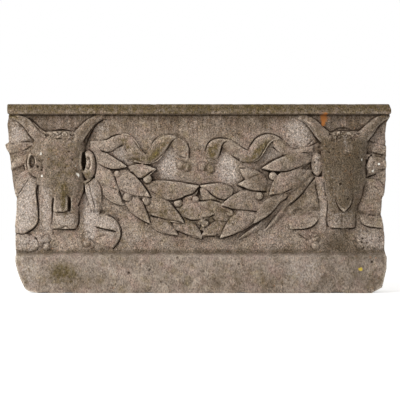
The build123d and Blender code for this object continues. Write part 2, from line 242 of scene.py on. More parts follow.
# The leaves: root, tip, then for the left and the right edge how far it swells and where (under 1
# it is fullest near the root, over 1 near the tip), and how the root and the tip differ in lift
leafShape = {
    "rootLift": 13,
    "tipLift": 31,
    "outerRootLift": 8,
    "outerTipLift": 16,
    "crown": 9,              # how far the middle of a blade stands above its edges
    "vein": 0.1,             # depth of the groove along the middle, as a share of the crown
    "outline": [(0, 0), (0.1, 0.33), (0.25, 0.72), (0.5, 1), (0.75, 0.72), (0.9, 0.33), (1, 0)],
}
swagLeaves = [
    ((-342, -133), (-227, -167), (23, 0.50), (24, 0.95), (0, 2)),
    ((-224, -168), (-133, -175), (11, 0.80), (32, 0.95), (-2, -2)),
    ((-266, -197), (-150, -266), (37, 0.50), (29, 0.75), (0, 3)),
    ((-330, -152), (-251, -245), (20, 0.90), (31, 0.75), (-2, -4)),
    ((-320, -210), (-235, -291), (20, 1.10), (23, 1.05), (-4, -8)),
    ((-227, -271), (-149, -352), (31, 0.50), (21, 0.60), (-2, -6)),
    ((-160, -261), (-43, -349), (25, 0.85), (41, 0.60), (0, 2)),
    ((-163, -335), (-64, -387), (27, 1.00), (18, 0.80), (-4, -8)),
    ((-83, -344), (13, -399), (30, 1.20), (15, 0.55), (-4, -6)),
    ((-70, -303), (54, -319), (33, 0.65), (29, 0.90), (0, 0)),
    ((-163, -229), (5, -229), (18, 0.50), (48, 0.90), (0, 4)),
    ((371, -139), (203, -173), (27, 0.85), (27, 0.70), (0, 2)),
    ((368, -178), (227, -259), (24, 1.00), (44, 1.15), (0, 0)),
    ((218, -197), (134, -175), (30, 1.30), (11, 1.10), (-4, -12)),
    ((224, -219), (125, -224), (31, 0.50), (26, 0.55), (0, 0)),
    ((115, -245), (6, -228), (32, 0.65), (18, 0.65), (0, -2)),
    ((202, -287), (72, -290), (25, 0.50), (47, 0.65), (0, 3)),
    ((112, -309), (3, -280), (47, 0.50), (19, 0.90), (0, -8)),
    ((106, -351), (11, -389), (22, 0.60), (28, 0.95), (-4, -8)),
    ((195, -315), (69, -397), (20, 0.70), (43, 0.70), (0, 0)),
    ((294, -255), (179, -349), (9, 1.30), (34, 1.05), (0, 0)),
    ((288, -287), (213, -373), (11, 0.80), (8, 0.50), (-8, -24)),
    ((374, -200), (275, -299), (12, 1.00), (19, 0.80), (-4, -21)),
    ((-52, -276), (2, -236), (10, 0.8), (16, 0.9), (-2, -12)),
    ((58, -283), (6, -236), (22, 0.8), (20, 0.9), (4, -10)),
    ((205, -341), (128, -402), (15, 0.50), (3, 2.00), (-6, -22)),
]
outerLeaves = [
    ((-520, -165), (-586, -264), (29, 1), (29, 1), (0, 0)),
    ((-528, -133), (-602, -178), (8, 0.8), (26, 1), (0, 0)),
    ((538, -146), (618, -165), (19, 1), (19, 1), (0, 0)),
    ((540, -205), (600, -262), (22, 1), (22, 1), (0, 0)),
]
berries = {
    "swagLift": 21,
    "groundLift": -2,
    "swag": [((-259, -191), 11), ((-226, -264), 14), ((-162, -207), 14), ((-166, -277), 14),
             ((-64, -283), 14), ((-8, -272), 11), ((14, -340), 9), ((27, -349), 9),
             ((18, -354), 8), ((240, -197), 13),
             ((195, -261), 13), ((102, -315), 11), ((173, -325), 13)],
    "ground": [((-54, -162), 14), ((-34, -168), 14), ((14, -166), 15), ((42, -174), 14),
               ((-358, -389), 14), ((-358, -411), 14), ((-486, -399), 13), ((-486, -424), 13),
               ((378, -395), 14), ((378, -421), 14), ((518, -402), 11), ((522, -421), 11)],
}


# adds a node with its settings; an input given as a socket is linked, any other value is set
def addNode(tree, kind, inputs=None, **settings):
    node = tree.nodes.new(kind)
    for name, value in settings.items():
        setattr(node, name, value)
    for socket, value in (inputs or {}).items():
        if isinstance(value, bpy.types.NodeSocket):
            tree.links.new(value, node.inputs[socket])
        else:
            node.inputs[socket].default_value = value
    return node


# a new geometry tree with its named inputs
def newTree(name, sizes):
    tree = bpy.data.node_groups.new(name, "GeometryNodeTree")
    tree.interface.new_socket("Geometry", in_out="INPUT", socket_type="NodeSocketGeometry")
    for label, value in sizes.items():
        kind = "NodeSocketInt" if isinstance(value, int) else "NodeSocketFloat"
        tree.interface.new_socket(label, in_out="INPUT", socket_type=kind).default_value = value
    tree.interface.new_socket("Material", in_out="INPUT", socket_type="NodeSocketMaterial")
    tree.interface.new_socket("Geometry", in_out="OUTPUT", socket_type="NodeSocketGeometry")
    return tree, tree.nodes.new("NodeGroupInput").outputs


def endTree(tree, geometry, material):
    whole = addNode(tree, "GeometryNodeRealizeInstances", {"Geometry": geometry})
    painted = addNode(tree, "GeometryNodeSetMaterial", {"Geometry": whole.outputs[0], "Material": material})
    addNode(tree, "NodeGroupOutput", {"Geometry": painted.outputs[0]})


# runs one modifier over a mesh and gives back the result as a plain mesh
def evaluated(mesh, kind, inputs=None, **settings):
    carrier = bpy.data.objects.new("carrier", mesh)
    bpy.context.scene.collection.objects.link(carrier)
    modifier = carrier.modifiers.new("step", kind)
    for name, value in settings.items():
        setattr(modifier, name, value)
    for identifier, value in (inputs or {}).items():
        modifier[identifier] = value
    graph = bpy.context.evaluated_depsgraph_get()
    result = bpy.data.meshes.new_from_object(carrier.evaluated_get(graph))
    bpy.data.objects.remove(carrier)
    return result


def runTree(tree, mesh, sizes):
    sockets = {item.name: item.identifier for item in tree.interface.items_tree if item.in_out == "INPUT"}
    return evaluated(mesh, "NODES", {sockets[label]: value for label, value in sizes.items()},
                     node_group=tree)


def pointMesh(name, columns):
    count = len(next(iter(columns.values())))
    mesh = bpy.data.meshes.new(name)
    mesh.vertices.add(count)
    for label, values in columns.items():
        flat = np.array(values, np.float32)
        if label == "position":
            mesh.vertices.foreach_set("co", flat.ravel())
        elif flat.ndim == 2:
            mesh.attributes.new(label, "FLOAT_VECTOR", "POINT").data.foreach_set("vector", flat.ravel())
        else:
            mesh.attributes.new(label, "FLOAT", "POINT").data.foreach_set("value", flat)
    return mesh


# Each leaf is a small grid block, bent over its own root, tip and swells, which its point carries
def makeLeafTree():
    tree, sizes = newTree("laurelLeaves", {
        "Crown": leafShape["crown"] * mm, "Vein": leafShape["vein"],
        "Root Depth": blockShape["bury"] * mm, "Ground": blockShape["groundY"] * mm})
    points = addNode(tree, "GeometryNodeMeshToPoints", {"Mesh": sizes["Geometry"]})
    blank = addNode(tree, "GeometryNodeMeshCube",
                    {"Size": (1, 2, 1), "Vertices X": 19, "Vertices Y": 13, "Vertices Z": 2})
    where = addNode(tree, "GeometryNodeInputPosition")
    marked = addNode(tree, "GeometryNodeStoreNamedAttribute",
                     {"Geometry": blank.outputs["Mesh"], "Name": "bladePlace", "Value": where.outputs[0]},
                     data_type="FLOAT_VECTOR")
    copies = addNode(tree, "GeometryNodeInstanceOnPoints",
                     {"Points": points.outputs[0], "Instance": marked.outputs[0]})
    blades = addNode(tree, "GeometryNodeRealizeInstances", {"Geometry": copies.outputs[0]})
    read = {}
    for label in ("bladePlace", "root", "tip", "swells", "leans"):
        read[label] = addNode(tree, "GeometryNodeInputNamedAttribute", {"Name": label},
                              data_type="FLOAT_VECTOR").outputs["Attribute"]
    blade = addNode(tree, "ShaderNodeSeparateXYZ", {0: read["bladePlace"]})
    swell = addNode(tree, "ShaderNodeSeparateXYZ", {0: read["swells"]})
    along = addNode(tree, "ShaderNodeMath", {0: blade.outputs["X"], 1: 0.5}, operation="ADD")
    lean = addNode(tree, "ShaderNodeSeparateXYZ", {0: read["leans"]})
    # which side of the middle this point is on picks its swell and its lean
    isLeft = addNode(tree, "ShaderNodeMath", {0: blade.outputs["Y"], 1: 0}, operation="LESS_THAN")
    ownSwell = addNode(tree, "ShaderNodeMix", {"Factor": isLeft.outputs[0], 2: swell.outputs["Y"],
                                               3: swell.outputs["X"]})
    ownLean = addNode(tree, "ShaderNodeMix", {"Factor": isLeft.outputs[0], 2: lean.outputs["Y"],
                                              3: lean.outputs["X"]})
    leaned = addNode(tree, "ShaderNodeMath", {0: along.outputs[0], 1: ownLean.outputs[0]},
                     operation="POWER")
    width = addNode(tree, "ShaderNodeFloatCurve", {"Value": leaned.outputs[0]})
    curve, outline = width.mapping.curves[0], leafShape["outline"]
    curve.points[0].location, curve.points[-1].location = outline[0], outline[-1]
    for point in outline[1:-1]:
        curve.points.new(*point)
    width.mapping.update()
    way = addNode(tree, "ShaderNodeVectorMath", {0: read["tip"], 1: read["root"]}, operation="SUBTRACT")
    sideways = addNode(tree, "ShaderNodeVectorMath", {0: way.outputs[0], 1: (0, -1, 0)},
                       operation="CROSS_PRODUCT")
    side = addNode(tree, "ShaderNodeVectorMath", {0: sideways.outputs[0]}, operation="NORMALIZE")
    reach = addNode(tree, "ShaderNodeMath", {0: ownSwell.outputs[0], 1: width.outputs[0]},
                    operation="MULTIPLY")
    offset = addNode(tree, "ShaderNodeMath", {0: reach.outputs[0], 1: blade.outputs["Y"]},
                     operation="MULTIPLY")
    spine = addNode(tree, "ShaderNodeVectorMath", {0: way.outputs[0], "Scale": along.outputs[0]},
                    operation="SCALE")
    middle = addNode(tree, "ShaderNodeVectorMath", {0: read["root"], 1: spine.outputs[0]}, operation="ADD")
    across = addNode(tree, "ShaderNodeVectorMath", {0: side.outputs[0], "Scale": offset.outputs[0]},
                     operation="SCALE")
    spread = addNode(tree, "ShaderNodeVectorMath", {0: middle.outputs[0], 1: across.outputs[0]},
                     operation="ADD")
    # rounded across, with a shallow vein groove along the middle
    fromMiddle = addNode(tree, "ShaderNodeMath", {0: blade.outputs["Y"]}, operation="ABSOLUTE")
    rounding = addNode(tree, "ShaderNodeMath", {0: fromMiddle.outputs[0], 1: 2.2}, operation="POWER")
    groove = addNode(tree, "ShaderNodeMapRange", {"Value": fromMiddle.outputs[0], "From Min": 0,
                                                  "From Max": 0.2, "To Min": sizes["Vein"], "To Max": 0})
    sunk = addNode(tree, "ShaderNodeMath", {0: rounding.outputs[0], 1: groove.outputs[0]}, operation="ADD")
    rise = addNode(tree, "ShaderNodeMath", {0: 1, 1: sunk.outputs[0]}, operation="SUBTRACT")
    crown = addNode(tree, "ShaderNodeMath", {0: rise.outputs[0], 1: sizes["Crown"]}, operation="MULTIPLY")
    crownHere = addNode(tree, "ShaderNodeMath", {0: crown.outputs[0], 1: width.outputs[0]},
                        operation="MULTIPLY")
    parts = addNode(tree, "ShaderNodeSeparateXYZ", {0: spread.outputs[0]})
    topY = addNode(tree, "ShaderNodeMath", {0: parts.outputs["Y"], 1: crownHere.outputs[0]},
                   operation="SUBTRACT")
    rootY = addNode(tree, "ShaderNodeMath", {0: sizes["Ground"], 1: sizes["Root Depth"]}, operation="ADD")
    isTop = addNode(tree, "ShaderNodeMath", {0: blade.outputs["Z"], 1: 0}, operation="GREATER_THAN")
    finalY = addNode(tree, "ShaderNodeMix", {"Factor": isTop.outputs[0], 2: rootY.outputs[0],
                                             3: topY.outputs[0]})
    final = addNode(tree, "ShaderNodeCombineXYZ", {"X": parts.outputs["X"], "Y": finalY.outputs[0],
                                                   "Z": parts.outputs["Z"]})
    bent = addNode(tree, "GeometryNodeSetPosition", {"Geometry": blades.outputs[0],
                                                     "Position": final.outputs[0]})
    endTree(tree, bent.outputs[0], sizes["Material"])
    return tree


def makeBerryTree():
    tree, sizes = newTree("laurelBerries", {"Segments": 16, "Rings": 10})
    points = addNode(tree, "GeometryNodeMeshToPoints", {"Mesh": sizes["Geometry"]})
    ball = addNode(tree, "GeometryNodeMeshUVSphere", {"Segments": sizes["Segments"],
                                                      "Rings": sizes["Rings"], "Radius": 1})
    radius = addNode(tree, "GeometryNodeInputNamedAttribute", {"Name": "berryRadius"}, data_type="FLOAT")
    copies = addNode(tree, "GeometryNodeInstanceOnPoints",
                     {"Points": points.outputs[0], "Instance": ball.outputs["Mesh"],
                      "Scale": radius.outputs["Attribute"]})
    endTree(tree, copies.outputs[0], sizes["Material"])
    return tree


def addLeaves(table, rootLift, tipLift):
    columns = {"position": [], "root": [], "tip": [], "swells": [], "leans": []}
    for root, tip, (leftSwell, leftLean), (rightSwell, rightLean), (atRoot, atTip) in table:
        columns["position"].append((0, 0, 0))
        columns["root"].append(place(*root, rootLift + atRoot))
        columns["tip"].append(place(*tip, tipLift + atTip))
        columns["swells"].append((leftSwell * mm, rightSwell * mm, 0))
        columns["leans"].append((leftLean, rightLean, 0))
    made = runTree(makeLeafTree(), pointMesh("leafPlaces", columns),
                   {"Crown": leafShape["crown"] * mm, "Vein": leafShape["vein"]})
    stoneForms.from_mesh(made)


addLeaves(swagLeaves, leafShape["rootLift"], leafShape["tipLift"])
addLeaves(outerLeaves, leafShape["outerRootLift"], leafShape["outerTipLift"])
berryColumns = {"position": [], "berryRadius": []}
for table, lift in ((berries["swag"], berries["swagLift"]), (berries["ground"], berries["groundLift"])):
    for centre, radius in table:
        berryColumns["position"].append(place(*centre, lift))
        berryColumns["berryRadius"].append(radius * mm)
stoneForms.from_mesh(runTree(makeBerryTree(), pointMesh("berryPlaces", berryColumns), {"Segments": 16}))
print("leaves and berries carved")

# The ribbons: the two edges of each fold, the lifts along each edge from its start to its end, how
# far the middle of the fold bulges, and its flutes
fluteDepth, foldSteps = 2.2, 14
ribbonFolds = [
    # upper left
    ([(-345, -86), (-298, -82), (-275, -72), (-250, -64), (-234, -68)],
     [(-345, -118), (-294, -124), (-275, -117), (-254, -104), (-234, -84)], (11, 13), (7, 9), 2, 0),
    ([(-259, -70), (-237, -61), (-214, -69), (-195, -91), (-179, -117), (-162, -134)],
     [(-259, -86), (-241, -91), (-230, -111), (-221, -130), (-208, -144), (-184, -155)], (14, 20), (8, 14),
     2, 0),
    ([(-192, -144), (-173, -136), (-154, -104), (-138, -82), (-122, -69), (-99, -63), (-70, -66)],
     [(-207, -150), (-170, -158), (-138, -153), (-118, -137), (-99, -107), (-83, -83), (-70, -76)],
     (13, 18), (18, 22), 2, 0),
    ([(-96, -66), (-70, -67), (-51, -75), (-35, -91), (-29, -115), (-30, -142)],
     [(-96, -82), (-86, -98), (-77, -117), (-64, -131), (-50, -141), (-38, -148)], (18, 13), (10, 7), 1, 0),
    # upper right
    ([(370, -98), (342, -105), (317, -106), (294, -101), (278, -85), (256, -72), (246, -74)],
     [(370, -122), (333, -120), (310, -123), (288, -130), (272, -131), (254, -118), (240, -93)],
     (10, 15), (7, 9), 2, 0),
    ([(262, -75), (246, -66), (224, -63), (205, -68), (186, -79), (173, -98), (155, -125), (134, -139)],
     [(260, -80), (237, -86), (224, -101), (214, -118), (202, -136), (186, -149), (160, -154), (134, -149)],
     (14, 11), (22, 17), 2, 0),
    ([(164, -118), (144, -108), (122, -91), (102, -80), (83, -77), (64, -76)],
     [(144, -141), (128, -139), (112, -133), (96, -120), (80, -104), (66, -96)], (17, 13), (11, 8), 1, 0),
    ([(99, -78), (77, -76), (58, -76), (42, -85), (29, -104), (24, -123), (28, -144)],
     [(99, -84), (83, -88), (74, -101), (70, -121), (64, -139), (51, -149), (37, -153)], (12, 9), (20, 12),
     2, 0),
    # at the two ends
    ([(-630, -91), (-608, -91), (-576, -88), (-525, -91)],
     [(-630, -127), (-595, -123), (-560, -120), (-520, -110)], (9, 9), (12, 6), 1, 0),
    ([(540, -84), (576, -91), (602, -99), (630, -106)],
     [(540, -116), (570, -123), (602, -129), (630, -135)], (6, 9), (5, 12), 1, 0),
    # falling beside the skulls
    ([(-538, -207), (-573, -258), (-590, -300), (-592, -345), (-590, -378)],
     [(-509, -210), (-520, -248), (-515, -300), (-516, -348), (-556, -381)], (9, 12), (15, 17), 3, 0),
    ([(-366, -214), (-360, -246), (-350, -278), (-342, -304), (-338, -318)],
     [(-323, -202), (-309, -230), (-305, -258), (-309, -290), (-318, -319)], (22, 16, 12, 9, 5),
     (16, 15, 8), 1, 2),
    ([(352, -220), (326, -258), (301, -290), (294, -316)],
     [(384, -204), (380, -242), (386, -276), (390, -313)], (5, 5), (11, 8), 1, 0),
    ([(536, -204), (531, -236), (522, -264), (512, -296), (512, -316)],
     [(572, -210), (585, -250), (592, -285), (590, -305), (590, -324)], (12, 9), (8, 6), 1, 0),
    # turned up at their feet
    ([(-590, -385), (-557, -383), (-541, -390), (-522, -398), (-510, -412)],
     [(-590, -432), (-570, -437), (-544, -440), (-522, -436), (-508, -422)], (13, 9), (11, 8), 3, 0),
    ([(-346, -312), (-323, -322), (-298, -325), (-275, -332), (-259, -344), (-248, -367)],
     [(-340, -354), (-320, -360), (-300, -365), (-282, -369), (-268, -372), (-252, -380)],
     (2, 12, 14, 12), (4, 18, 20, 15), 2, 0),
    ([(-346, -374), (-322, -374), (-300, -374), (-280, -376), (-262, -378), (-248, -376)],
     [(-344, -390), (-325, -410), (-300, -422), (-280, -427), (-262, -420), (-250, -398)],
     (2, 11, 14, 14), (1, 7, 9, 9), 2, 0),
    ([(288, -338), (310, -325), (342, -323), (365, -321), (390, -312)],
     [(296, -368), (326, -367), (352, -362), (374, -350), (390, -330)], (7, 9), (17, 19), 1, 0),
    ([(512, -309), (531, -318), (557, -325), (592, -326)],
     [(512, -325), (522, -343), (540, -356), (592, -363)], (9, 8), (18, 15), 1, 0),
]


def makeFold(firstEdge, secondEdge, firstLifts, secondLifts, bulge, flutes):
    first, second = smoothPath(firstEdge, 7), smoothPath(secondEdge, 7)
    rows = []
    for i, (start, end) in enumerate(zip(first, second)):
        share = i / (len(first) - 1)
        startLift, endLift = [np.interp(share, np.linspace(0, 1, len(lifts)), lifts)
                              for lifts in (firstLifts, secondLifts)]
        row = []
        for k in range(foldSteps + 1):
            v = k / foldSteps
            lift = startLift + (endLift - startLift) * v + bulge * math.sin(math.pi * v)
            if flutes:
                lift += fluteDepth * math.cos(2 * math.pi * flutes * v)
            row.append((*(start + (end - start) * v), lift))
        rows.append(row)
    addPatch(rows)


for fold in ribbonFolds:
    makeFold(*fold)
print("ribbons carved")

# The ox skulls: sections down the face as (drop, left reach, right reach, lift)
skullShape = {
    "left": {
        "middle": -440, "hornSpread": 1.0,
        "sections": [(53, -40, 40, 20), (62, -58, 56, 35), (82, -72, 72, 44), (107, -77, 77, 48),
                     (146, -70, 70, 49.5), (184, -69, 70, 48), (210, -70, 76, 46), (242, -69, 75, 42),
                     (268, -60, 70, 36), (290, -42, 60, 29), (306, -31, 58, 27), (331, -30, 58, 26),
                     (366, -29, 54, 24)],
    },
    "right": {
        "middle": 466, "hornSpread": 0.93,
        "sections": [(53, -31, 46, 20), (62, -50, 62, 35), (82, -68, 76, 44), (107, -76, 77, 48),
                     (146, -69, 71, 49.5), (184, -69, 71, 48), (210, -68, 72, 46), (242, -60, 65, 42),
                     (274, -55, 54, 34), (300, -53, 45, 28), (331, -54, 41, 26), (363, -47, 36, 24)],
    },
    "faceSteps": 32,         # from one side of the face to the other
    "roundness": 3.6,        # higher is flatter across the brow with tighter sides
    "tufts": 24,             # low tufts in the roll of hair between the horns
    "hairReach": 40,
    "hornStations": [(50, 84, 18, 23), (80, 58, 18, 20), (105, 31, 14, 16), (129, 15, 11, 12),
                     (156, 8, 7, 7)],
    # the one between the left skull and the swag stands steeper
    "steepHorn": [(48, 84, 18, 23), (70, 55, 18, 18), (93, 29, 14, 14.5), (117, 13, 11, 11),
                  (141, 7, 7, 7)],
    # ears and the bone round them, as (reach, rise), half width, half height, lift, lean outwards
    "ears": [((-538, -156), 19, 40, 31, -0.1), ((-350, -162), 23, 48, 34, 0.1),
             ((381, -159), 19, 38, 25, 0.2), ((556, -160), 22, 36, 15, 0.1)],
    # nose bones: top and end as (drop, lift); bands across as (from, to, extra lift)
    "noses": {
        "left": {"halfWidth": 24, "taper": 0.2, "top": (204, 46), "end": (311, 46), "tailStart": 0.9,
                 "tailLoss": 0.25, "bands": [(-1, -0.2, -3.5), (-0.3, 1, 2)]},
        "right": {"halfWidth": 28, "taper": 0.1, "top": (130, 48), "end": (312, 45), "tailStart": 0.7,
                  "tailLoss": 0.9, "bands": [(-1, 1, 3)]},
    },
    "seed": 3,
}


def makeSkull(side):
    skull = skullShape[side]
    middle = skull["middle"]
    rows = []
    for drop, left, right, lift in smoothPath(skull["sections"], 5):
        row = []
        for k in range(skullShape["faceSteps"] + 1):
            turn = math.pi * k / skullShape["faceSteps"]
            share = -math.copysign(abs(math.cos(turn)) ** 0.8, math.cos(turn))
            reach = middle + (left + right) / 2 + share * (right - left) / 2
            height = lift * (1 - abs(share) ** skullShape["roundness"]) ** 0.5
            row.append((reach, -drop, height))
        rows.append(row)
    addPatch(rows)
    makeNose(middle, side)
    for sign in (-1, 1):
        horn = []
        steep = side == "left" and sign > 0
        for outward, drop, lift, radius in skullShape["steepHorn" if steep else "hornStations"]:
            horn.append((middle + sign * skull["hornSpread"] * outward, -drop, lift, radius))
        addBar(horn, steps=7, sides=18)
    random.seed(skullShape["seed"])
    for _ in range(skullShape["tufts"]):
        across = random.uniform(-skullShape["hairReach"], skullShape["hairReach"])
        droop = 62 + 0.008 * across**2 + random.uniform(0, 14)
        size = random.uniform(4, 7)
        addBar([(middle + across - size, -droop, 32, size * 0.6),
                (middle + across, -droop + size * 0.5, 37, size),
                (middle + across + size, -droop - size * 0.4, 32, size * 0.6)], steps=3, sides=8)


# the long nose bone, standing free at its end over the nostrils
def makeNose(middle, side):
    nose = skullShape["noses"][side]
    for fromShare, toShare, extra in nose["bands"]:
        rows = []
        for i in range(29):
            share = i / 28
            drop = nose["top"][0] + (nose["end"][0] - nose["top"][0]) * share
            half = nose["halfWidth"] * (1 - nose["taper"] * (1 - min(1, share * 2)))
            tail = max(0, (share - nose["tailStart"]) / (1 - nose["tailStart"]))
            half *= max(0.12, 1 - tail ** 2.2 * nose["tailLoss"])
            fade = min(1, share * 3)
            lift = nose["top"][1] + (nose["end"][1] - nose["top"][1]) * share + extra * fade
            row = []
            for k in range(11):
                v = k / 5 - 1
                reach = (fromShare + (toShare - fromShare) * (v + 1) / 2) * half
                row.append((middle + reach, -drop, lift - 7 * fade * abs(v) ** 2.4))
            rows.append(row)
        addPatch(rows)


# a raised oval for an ear; its hollow is cut later
def makeEar(centre, halfWidth, halfHeight, lift, lean):
    rows = []
    for i in range(25):
        up = -math.cos(math.pi * i / 24)
        narrow = max(0.05, math.sin(math.pi * i / 24))
        row = []
        for k in range(17):
            v = k / 8 - 1
            edge = min(1, math.hypot(v * math.sin(math.pi * i / 24), up)) ** 4
            height = lift * (1 - edge) ** 0.5 + lean * v * narrow * halfWidth
            row.append((centre[0] + v * narrow * halfWidth, centre[1] + up * halfHeight, height))
        rows.append(row)
    addPatch(rows)


makeSkull("left")
makeSkull("right")
for ear in skullShape["ears"]:
    makeEar(*ear)
# stone left standing beside the jaws, as (rise, left reach, right reach, left lift, right lift)
jawStone = [
    [(-64, -512, -486, 26, 34), (-100, -534, -478, 10, 42), (-150, -545, -478, 10, 43),
     (-190, -530, -478, 12, 41), (-216, -514, -474, 12, 36)],
    [(-190, -512, -470, 18, 34), (-230, -510, -464, 15, 30), (-280, -509, -464, 11, 24),
     (-330, -508, -466, 7, 16), (-384, -508, -468, 1, 5)],
    [(-200, 376, 408, 10, 24), (-260, 386, 412, 9, 18), (-320, 388, 412, 7, 14), (-384, 384, 412, 1, 3)],
    [(-220, 512, 536, 22, 9), (-270, 506, 522, 18, 8), (-320, 505, 520, 14, 7), (-384, 505, 522, 3, 1)],
]
# worn lumps at the feet of the ribbons, as bars of (reach, rise, lift, radius)
wornLumps = [
    [(540, -132, 10, 8), (554, -146, 16, 10), (548, -168, 16, 9), (552, -186, 12, 7)],
    [(566, -138, 8, 6), (576, -158, 8, 7), (570, -180, 6, 5)],
    [(2, -350, 14, 6), (16, -342, 16, 8), (30, -352, 14, 7)], [(8, -364, 12, 6), (24, -368, 13, 6)],
    [(-582, -398, 2, 15), (-560, -404, 4, 17), (-538, -412, 1, 13)],
    [(-534, -392, 0, 10), (-515, -396, 2, 12), (-500, -410, 0, 9)],
    [(-356, -380, 2, 6), (-340, -396, 3, 6), (-322, -412, 2, 5)],
    [(340, -378, 2, 5), (356, -384, 3, 6), (374, -386, 2, 5)],
    [(524, -384, 0, 10), (550, -392, 3, 12), (580, -404, 1, 10)],
    [(548, -414, 1, 9), (572, -420, 2, 10), (592, -430, 0, 8)],
    [(16, -392, 8, 5), (24, -372, 9, 6), (30, -352, 7, 5)],
]
for lump in wornLumps:
    addBar(lump, steps=4, sides=10)
for stand in jawStone:
    rows = []
    for rise, left, right, leftLift, rightLift in smoothPath(stand, 6):
        rows.append([(left + (right - left) * k / 8, rise, leftLift + (rightLift - leftLift) * k / 8)
                     for k in range(9)])
    addPatch(rows)
print("skulls carved")

# All the forms grow into one stone
bmesh.ops.recalc_face_normals(stoneForms, faces=stoneForms.faces)
rawMesh = bpy.data.meshes.new("rawStone")
stoneForms.to_mesh(rawMesh)
stoneForms.free()
stoneMesh = evaluated(rawMesh, "REMESH", mode="VOXEL", voxel_size=blockShape["grain"] * mm)
stoneMesh = evaluated(stoneMesh, "SMOOTH", factor=0.5, iterations=3)
print("one stone of", len(stoneMesh.polygons), "faces")


def meshPoints(mesh):
    co = np.empty(len(mesh.vertices) * 3, np.float32)
    mesh.vertices.foreach_get("co", co)
    return co.reshape(-1, 3) / mm


def movePoints(mesh, co):
    mesh.vertices.foreach_set("co", (co * mm).astype(np.float32).ravel())
    mesh.update()


# Height of the carving over the front, as a map, and its soft average, to find the hollows
mapCell = 2.0


def makeHeightMap(mesh):
    co = meshPoints(mesh)
    across, up = int(blockShape["length"] / mapCell) + 1, int(blockShape["height"] / mapCell) + 1
    column = np.clip(((co[:, 0] + blockShape["length"] / 2) / mapCell).astype(int), 0, across - 1)
    row = np.clip((co[:, 2] / mapCell).astype(int), 0, up - 1)
    heights = np.full((up, across), -float(blockShape["backY"]))
    np.maximum.at(heights, (row, column), -co[:, 1])
    heights[heights < -60] = -blockShape["groundY"]      # cells that no point of the front fell into
    return heights


def blur(values, radius):
    size = max(1, int(radius / mapCell))
    for axis in (0, 1):
        for _ in range(3):
            pad = [(size + 1, size) if a == axis else (0, 0) for a in (0, 1)]
            total = np.cumsum(np.pad(values, pad, mode="edge"), axis=axis)
            ahead = np.take(total, range(2 * size + 1, total.shape[axis]), axis=axis)
            behind = np.take(total, range(0, total.shape[axis] - 2 * size - 1), axis=axis)
            values = (ahead - behind) / (2 * size + 1)
    return values


def mapPlace(co, values):
    column = np.clip((co[:, 0] + blockShape["length"] / 2) / mapCell, 0, values.shape[1] - 1).astype(int)
    row = np.clip(co[:, 2] / mapCell, 0, values.shape[0] - 1).astype(int)
    return values[row, column]


# the ribbons and leaves at the ends are broken off with the block
def trimEnds(mesh):
    co = meshPoints(mesh)
    half = blockShape["length"] / 2
    leftLoss = np.interp(co[:, 2], *zip(*breaks["left"]))
    rightLoss = np.interp(co[:, 2], *zip(*breaks["right"]))
    co[:, 0] = np.clip(co[:, 0], leftLoss - half, half - rightLoss)
    movePoints(mesh, co)


# time has filled the creases and rounded the edges: each point moves towards the soft average
settling = {
    "reachAcross": 9,
    "fill": 0.6,
    "mostFill": 7,
    "wear": 0.3,
    "mostWear": 2.5,
    "behind": 14,            # how far behind the carved ground it still works
    "bed": 4,                # the bed, the top and the underside of the fillet keep their edges
    "top": 6,
    "fillet": (-3, 8),
}


def settle(mesh):
    co = meshPoints(mesh)
    soft = mapPlace(co, blur(makeHeightMap(mesh), settling["reachAcross"]))
    own = -co[:, 1]
    under, over = settling["fillet"]
    front = own > -blockShape["groundY"] - settling["behind"]
    front &= (co[:, 2] > settling["bed"]) & (co[:, 2] < blockShape["height"] - settling["top"])
    front &= (co[:, 2] < filletUnderside + under) | (co[:, 2] > filletUnderside + over)
    fill = np.clip((soft - own) * settling["fill"], 0, settling["mostFill"])
    wear = np.clip((own - soft) * settling["wear"], 0, settling["mostWear"])
    co[:, 1] -= np.where(front, fill - wear, 0)
    movePoints(mesh, co)


